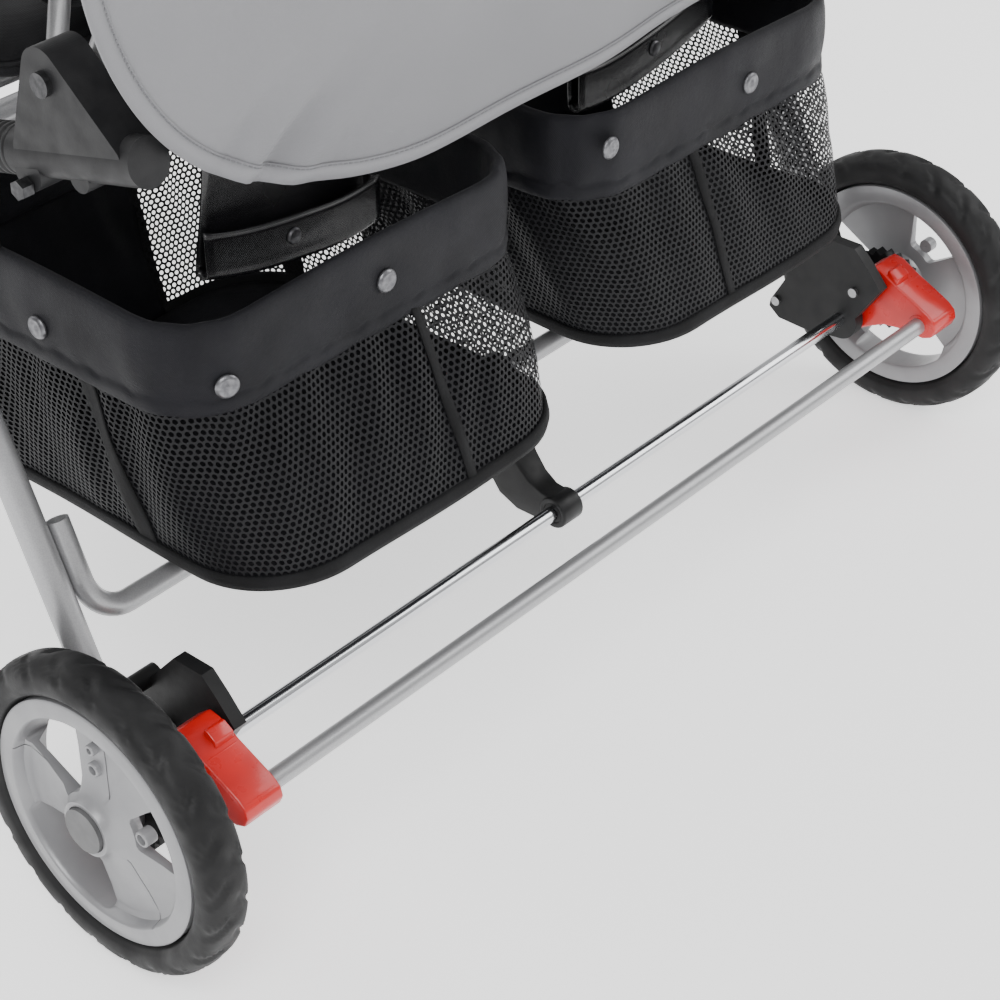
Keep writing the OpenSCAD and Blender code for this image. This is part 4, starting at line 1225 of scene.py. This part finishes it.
recline_by = Matrix.Rotation(math.radians(-14), 4, "X")
hinge_at = Vector((0.14325, axle_y - 0.15, 0.43849))
seat_at = Matrix.Translation((0.14325, axle_y - 0.305, 0.4289))
back_at = (
    Matrix.Translation(hinge_at) @ recline_by
    @ Matrix.Translation((0, -0.0075, 0.2075)) @ Matrix.Rotation(math.radians(90), 4, "X")
)  # fmt: skip
calf_low = Vector((0.14325, axle_y - 0.5296, 0.279))
calf_high = Vector((0.14325, axle_y - 0.446, 0.4362))
calf_run = calf_high - calf_low
calf_at = (
    Matrix.Translation((calf_low + calf_run / 2))
    @ Matrix.Rotation(math.atan2(calf_run.z, calf_run.y), 4, "X") @ Matrix.Translation((0, 0, -0.0045))
)  # fmt: skip
for kind, w, l, t, crown, lines, matrix, slot_name, node_name, press in (
    ("seat_cushion", 250, 260, 29, 3.5, (-50, 40), seat_at, "black_fabric", "seat_pad", 5),
    ("back_cushion", 228, 362, 28, 3.5, (-80, 10, 100), back_at, "black_fabric", "back_pad", 5),
    ("calf_cushion", 234, 168, 9, 1.5, (-28, 28), calf_at, "black_fabric", "calf_rest", 2),
):
    cushion = stuffed(foam_block(w, l, t, crown), 4, press)
    channels(cushion, lines, 2.6 if t > 15 else 1.4, 3.2)
    cord_edge = piping(cushion, w, l, 24, t * 0.5, 1.7)
    for side_name, sign in (("left", 1), ("right", -1)):
        for made, part, material in ((cushion, kind, seat_polyester), (cord_edge, kind + "_piping", piping_cord)):
            piece = made.copy()
            piece.data = made.data.copy()
            bpy.context.scene.collection.objects.link(piece)
            piece.data.transform(matrix)
            if sign < 0:
                piece.data.transform(Matrix.Scale(-1, 4, (1, 0, 0)))
                piece.data.flip_normals()
            body = f"backrest_{side_name}" if kind == "back_cushion" else "chassis"
            ready(piece, f"{part}_{side_name}", material, slot_name, body)
            if made is cushion:
                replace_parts(piece, f"{node_name}_{side_name}")
    bpy.data.objects.remove(cushion)
    bpy.data.objects.remove(cord_edge)


# ---------------------------------------------------------------- harnesses
# Each seat has a harness of 25 mm black webbing: two shoulder straps with padded sleeves,
# a waist strap sewn across, and a moulded buckle with a push button where they meet.
harness_webbing = finish("harness_webbing", (0.016, 0.016, 0.018), 0.52, Sheen_Weight=0.2)
mottle(harness_webbing, (0.012, 0.012, 0.013), (0.024, 0.024, 0.026), 90)
ribbed = node(harness_webbing, "ShaderNodeTexWave", Vector=cloth_at(harness_webbing), Scale=160.0, Distortion=1.0)
bumped(harness_webbing, ribbed.outputs["Fac"], 0.0002)


def webbing(path, wide, thick):
    """A flat strap in the backrest's frame; a path point is (x, z, how far it stands off the cushion)."""
    strip = []
    path = np.array(path, float)
    ahead = np.gradient(path[:, :2], axis=0)
    ahead /= np.linalg.norm(ahead, axis=1, keepdims=True)
    for (x, z, lift), (ax, az) in zip(path, ahead):
        strip.append([(x - az * wide * s, -44.0 - lift, z + ax * wide * s) for s in (-0.5, -0.46, 0, 0.46, 0.5)])
    o = cloth_grid(strip, "strap", uv=even_uv(strip))
    return slab_cloth(o, thick / 1000)


def shoulder_path(sign):
    path = []
    for t in np.linspace(0, 1, 24):
        path.append((sign * (45 - 24 * (1 - t) ** 2), 88 + 268 * t, 1.0 + 3 * math.sin(math.pi * t) ** 0.8))
    return path


harness_at = Matrix.Translation(hinge_at) @ recline_by
straps = [webbing(shoulder_path(1), 25, 1.5), webbing(shoulder_path(-1), 25, 1.5)]
waist = [(x, 86 + 2 * math.sin(x / 30), 1.2 + 1.2 * math.cos(x / 64)) for x in np.linspace(-98, 98, 30)]
straps.append(webbing(waist, 25, 1.5))
straps.append(webbing([(1.0 * math.sin(z / 20), z, 2.2) for z in np.linspace(30, 66, 9)], 25, 1.5))
straps = joined(*straps)
sleeves = []
for sign in (1, -1):
    sleeve = foam_block(38, 106, 5, 0.6)
    sleeve.data.transform(Matrix.Rotation(math.radians(90), 4, "X"))
    shift(sleeve, sign * 0.043, -0.0465, 0.266)
    deselect()
    sleeve.select_set(True)
    bpy.context.view_layer.objects.active = sleeve
    bpy.ops.object.shade_smooth()
    sleeves.append(sleeve)
sleeves = joined(*sleeves)
buckle = blank(
    [(-20, -24), (20, -24), (22, -20), (22, 8), (15, 20), (6, 24), (-6, 24), (-15, 20), (-22, 8), (-22, -20)],
    0, 8.5,
)  # fmt: skip
buckle.data.transform(Matrix.Rotation(math.radians(-90), 4, "Z"))
round_edges(buckle, 0.0018, 3)
button = turned([(0, 0.01), (0, 8), (1.6, 8), (2.4, 7), (2.0, 4), (1.8, 0.01)], 32)
button.data.transform(Matrix.Rotation(math.radians(-90), 4, "Z"))
shift(button, 0, -0.0082, 0)
buckle = joined(buckle, button)
shift(buckle, 0, -0.0445, 0.087)
for side_name, sign in (("left", 1), ("right", -1)):
    made_here = []
    for made, part, material, slot_name in (
        (straps, "harness_straps", harness_webbing, "webbing"), (sleeves, "harness_sleeves", seat_polyester, "webbing"),
        (buckle, "harness_buckle", black_nylon, "black_plastic"),
    ):  # fmt: skip
        piece = made.copy()
        piece.data = made.data.copy()
        bpy.context.scene.collection.objects.link(piece)
        piece.data.transform(harness_at)
        if sign < 0:
            piece.data.transform(Matrix.Scale(-1, 4, (1, 0, 0)))
            piece.data.flip_normals()
        ready(piece, f"{part}_{side_name}", material, slot_name, f"backrest_{side_name}")
        made_here.append(piece)
    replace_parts(made_here[0], f"harness_{side_name}")
for made in (straps, sleeves, buckle):
    bpy.data.objects.remove(made)


# ---------------------------------------------------------------- side panels
# A padded wing of black nylon closes each side of the seats, sewn to the rail along its
# foot, with two rows of quilting; the piping round it is not made.
panel_points = []
for cy, cz, r in ((-428, 439.3, 10), (-420, 500.3, 20), (-150, 457.0, 10), (-168, 608.3, 30)):
    panel_points += [(cy + r * math.cos(a), cz + r * math.sin(a)) for a in np.linspace(0, 2 * math.pi, 49)[:-1]]
panel_points.sort()
lower, upper = [], []
for chain, pts in ((lower, panel_points), (upper, panel_points[::-1])):
    for p in pts:
        while len(chain) > 1:
            (x0, y0), (x1, y1) = chain[-2], chain[-1]
            if (x1 - x0) * (p[1] - y0) - (y1 - y0) * (p[0] - x0) > 0:
                break
            chain.pop()
        chain.append(p)
outline = np.array(lower[:-1] + upper[:-1] + lower[:1])
gone = np.concatenate([[0], np.cumsum(np.hypot(*np.diff(outline, axis=0).T))])
at = np.linspace(0, gone[-1], 161)[:-1]
outline = np.stack([np.interp(at, gone, outline[:, 0]), np.interp(at, gone, outline[:, 1])], 1)
middle = outline.mean(0)
for side_name, sign in (("left", 1), ("right", -1)):
    rows = []
    for face in (1, -1):
        ts = np.linspace(0.03, 1, 26) if face > 0 else np.linspace(1, 0.03, 26)[1:]
        for t in ts:
            flat = middle + (outline - middle) * t
            quilt = 0.9 * np.exp(-(((flat[:, 1] - 0.18 * (flat[:, 0] + 290) - 500) / 3.5) ** 2))
            quilt += 0.9 * np.exp(-(((flat[:, 1] - 0.18 * (flat[:, 0] + 290) - 545) / 3.5) ** 2))
            thick = 0.5 + 1.6 * math.sqrt(max(0, 1 - t**6))
            x = 311.2 + face * (thick - quilt * (t < 0.93)) + 0.3 * np.sin(flat[:, 0] / 19)
            rows.append(np.stack([x, flat[:, 0], flat[:, 1]], 1))
    panel = cloth_grid(rows, "panel", around=True, uv=even_uv(rows, around=True))
    deselect()
    panel.select_set(True)
    bpy.context.view_layer.objects.active = panel
    bpy.ops.object.mode_set(mode="EDIT")
    for lowest, highest in ((0, 160), (len(rows) * 160 - 160, len(rows) * 160)):
        bpy.ops.mesh.select_all(action="DESELECT")
        bm = bmesh.from_edit_mesh(panel.data)
        bm.verts.ensure_lookup_table()
        keep_ids = [v for v in bm.verts if v.index in range(lowest, highest)]
        for v in keep_ids:
            v.select = True
        bm.select_flush(True)
        bmesh.update_edit_mesh(panel.data)
        if lowest == 0:
            continue
        bpy.ops.mesh.merge(type="CENTER")
    bpy.ops.mesh.select_all(action="DESELECT")
    bm = bmesh.from_edit_mesh(panel.data)
    bm.verts.ensure_lookup_table()
    for v in bm.verts:
        v.select = v.index < 160
    bm.select_flush(True)
    bmesh.update_edit_mesh(panel.data)
    bpy.ops.mesh.merge(type="CENTER")
    bpy.ops.mesh.select_all(action="SELECT")
    bpy.ops.mesh.normals_make_consistent(inside=False)
    bpy.ops.object.mode_set(mode="OBJECT")
    if sign < 0:
        panel.data.transform(Matrix.Scale(-1, 4, (1, 0, 0)))
        panel.data.flip_normals()
    shift(panel, 0, axle_y, 0)
    ready(panel, f"side_wing_{side_name}", band_nylon, "black_fabric", "chassis")
    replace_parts(panel, "side_panels")


# ---------------------------------------------------------------- canopy
# A hood of the same grey polyester stretched from the push bar over a sprung front hoop.
# It is sewn from a crown and two side quarters, with a black bound front edge.
hub_y, hub_z = axle_y * 1000 + 71, 706.19
rows = []
angles = np.radians(np.linspace(64, 157, 60))
for k, a in enumerate(angles):
    t = k / (len(angles) - 1)
    dip = 3.2 * math.sin(math.pi * ((2 * t) % 1)) * (0 < t < 1)
    line = []
    for s in np.linspace(-1, 1, 81):
        reach = abs(s)
        if reach < 0.6:
            x, r = 268 * reach / 0.6, 293.2
        elif reach < 0.7:
            b = (reach - 0.6) / 0.1 * math.pi / 2
            x, r = 268 + 15.5 * math.sin(b), 293.2 - 15.5 * (1 - math.cos(b))
        else:
            x, r = 283.5, 277.7 - (reach - 0.7) / 0.3 * 243
        r -= dip * (1 - (x / 284) ** 4 * 0.4) if reach < 0.75 else 0
        x -= 1.6 * math.sin(r / 21 + a * 5) * (reach > 0.75) + (1.4 if reach > 0.72 else 0)
        line.append((math.copysign(x, s), hub_y + r * math.cos(a), hub_z + r * math.sin(a)))
    rows.append(line)
hood = cloth_grid(rows, "hood", uv=even_uv(rows))
slab_cloth(hood, 0.0014)
edge_rows = []
for a in np.radians((155.2, 156.4, 157.6)):
    line = []
    for x, y, z in rows[-1]:
        reach = math.hypot(y - hub_y, z - hub_z) + 1.2
        line.append((x, hub_y + reach * math.cos(a), hub_z + reach * math.sin(a)))
    edge_rows.append(line)
hood_edge = cloth_grid(edge_rows, "edge", uv=even_uv(edge_rows))
slab_cloth(hood_edge, 0.0018)
seam_rows = []
for x in (262, 266):
    seam_rows.append([(x, hub_y + 294.3 * math.cos(a), hub_z + 294.3 * math.sin(a)) for a in angles])
seams = []
for sign in (1, -1):
    flipped = [[(sign * x, y, z) for x, y, z in line] for line in seam_rows]
    seam = cloth_grid(flipped, "seam", uv=even_uv(seam_rows))
    seams.append(slab_cloth(seam, 0.0012))
hood_seams = joined(*seams)
for piece, name, material, slot_name in (
    (hood, "canopy_hood", grey_polyester, "grey_fabric"), (hood_edge, "canopy_binding", binding_tape, "grey_fabric"),
    (hood_seams, "canopy_seams", grey_polyester, "grey_fabric"),
):  # fmt: skip
    ready(piece, name, material, slot_name, None)
    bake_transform(piece)
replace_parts(hood, "canopy_fabric")


# ---------------------------------------------------------------- push-bar grip
# A sleeve of closed-cell black foam pushed on the bar, with a rolled bead at each end and
# shallow finger grooves near them.
grip_foam = finish("grip_foam", (0.016, 0.016, 0.017), 0.82)
mottle(grip_foam, (0.013, 0.013, 0.014), (0.024, 0.024, 0.025), 160)
pores = node(grip_foam, "ShaderNodeTexVoronoi", Vector=place_of(grip_foam), Scale=1300.0)
bumped(grip_foam, pores.outputs["Distance"], 0.00025)
grip_low, grip_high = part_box("handle_grip")
half_grip = (grip_high.x - grip_low.x) * 500
outer = (grip_high.z - grip_low.z) * 500
profile = [(-half_grip, outer - 5), (-half_grip, outer - 1.4), (-half_grip + 1.4, outer), (-half_grip + 6, outer)]
for k in range(9):
    x = -half_grip + 9 + k * 9
    profile += [(x, outer - 0.2), (x + 1.5, outer - 1.5), (x + 3, outer - 0.2)]
profile += [(-x, r) for x, r in profile[::-1]]
profile += [(half_grip, 9.7), (-half_grip, 9.7)]
grip = turned(profile, 64)
round_edges(grip, 0.0004, 2)
shift(grip, 0, (grip_low.y + grip_high.y) / 2, (grip_low.z + grip_high.z) / 2)
ready(grip, "push_bar_grip", grip_foam, "grip_foam", "handle_frame")
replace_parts(grip, "handle_grip")
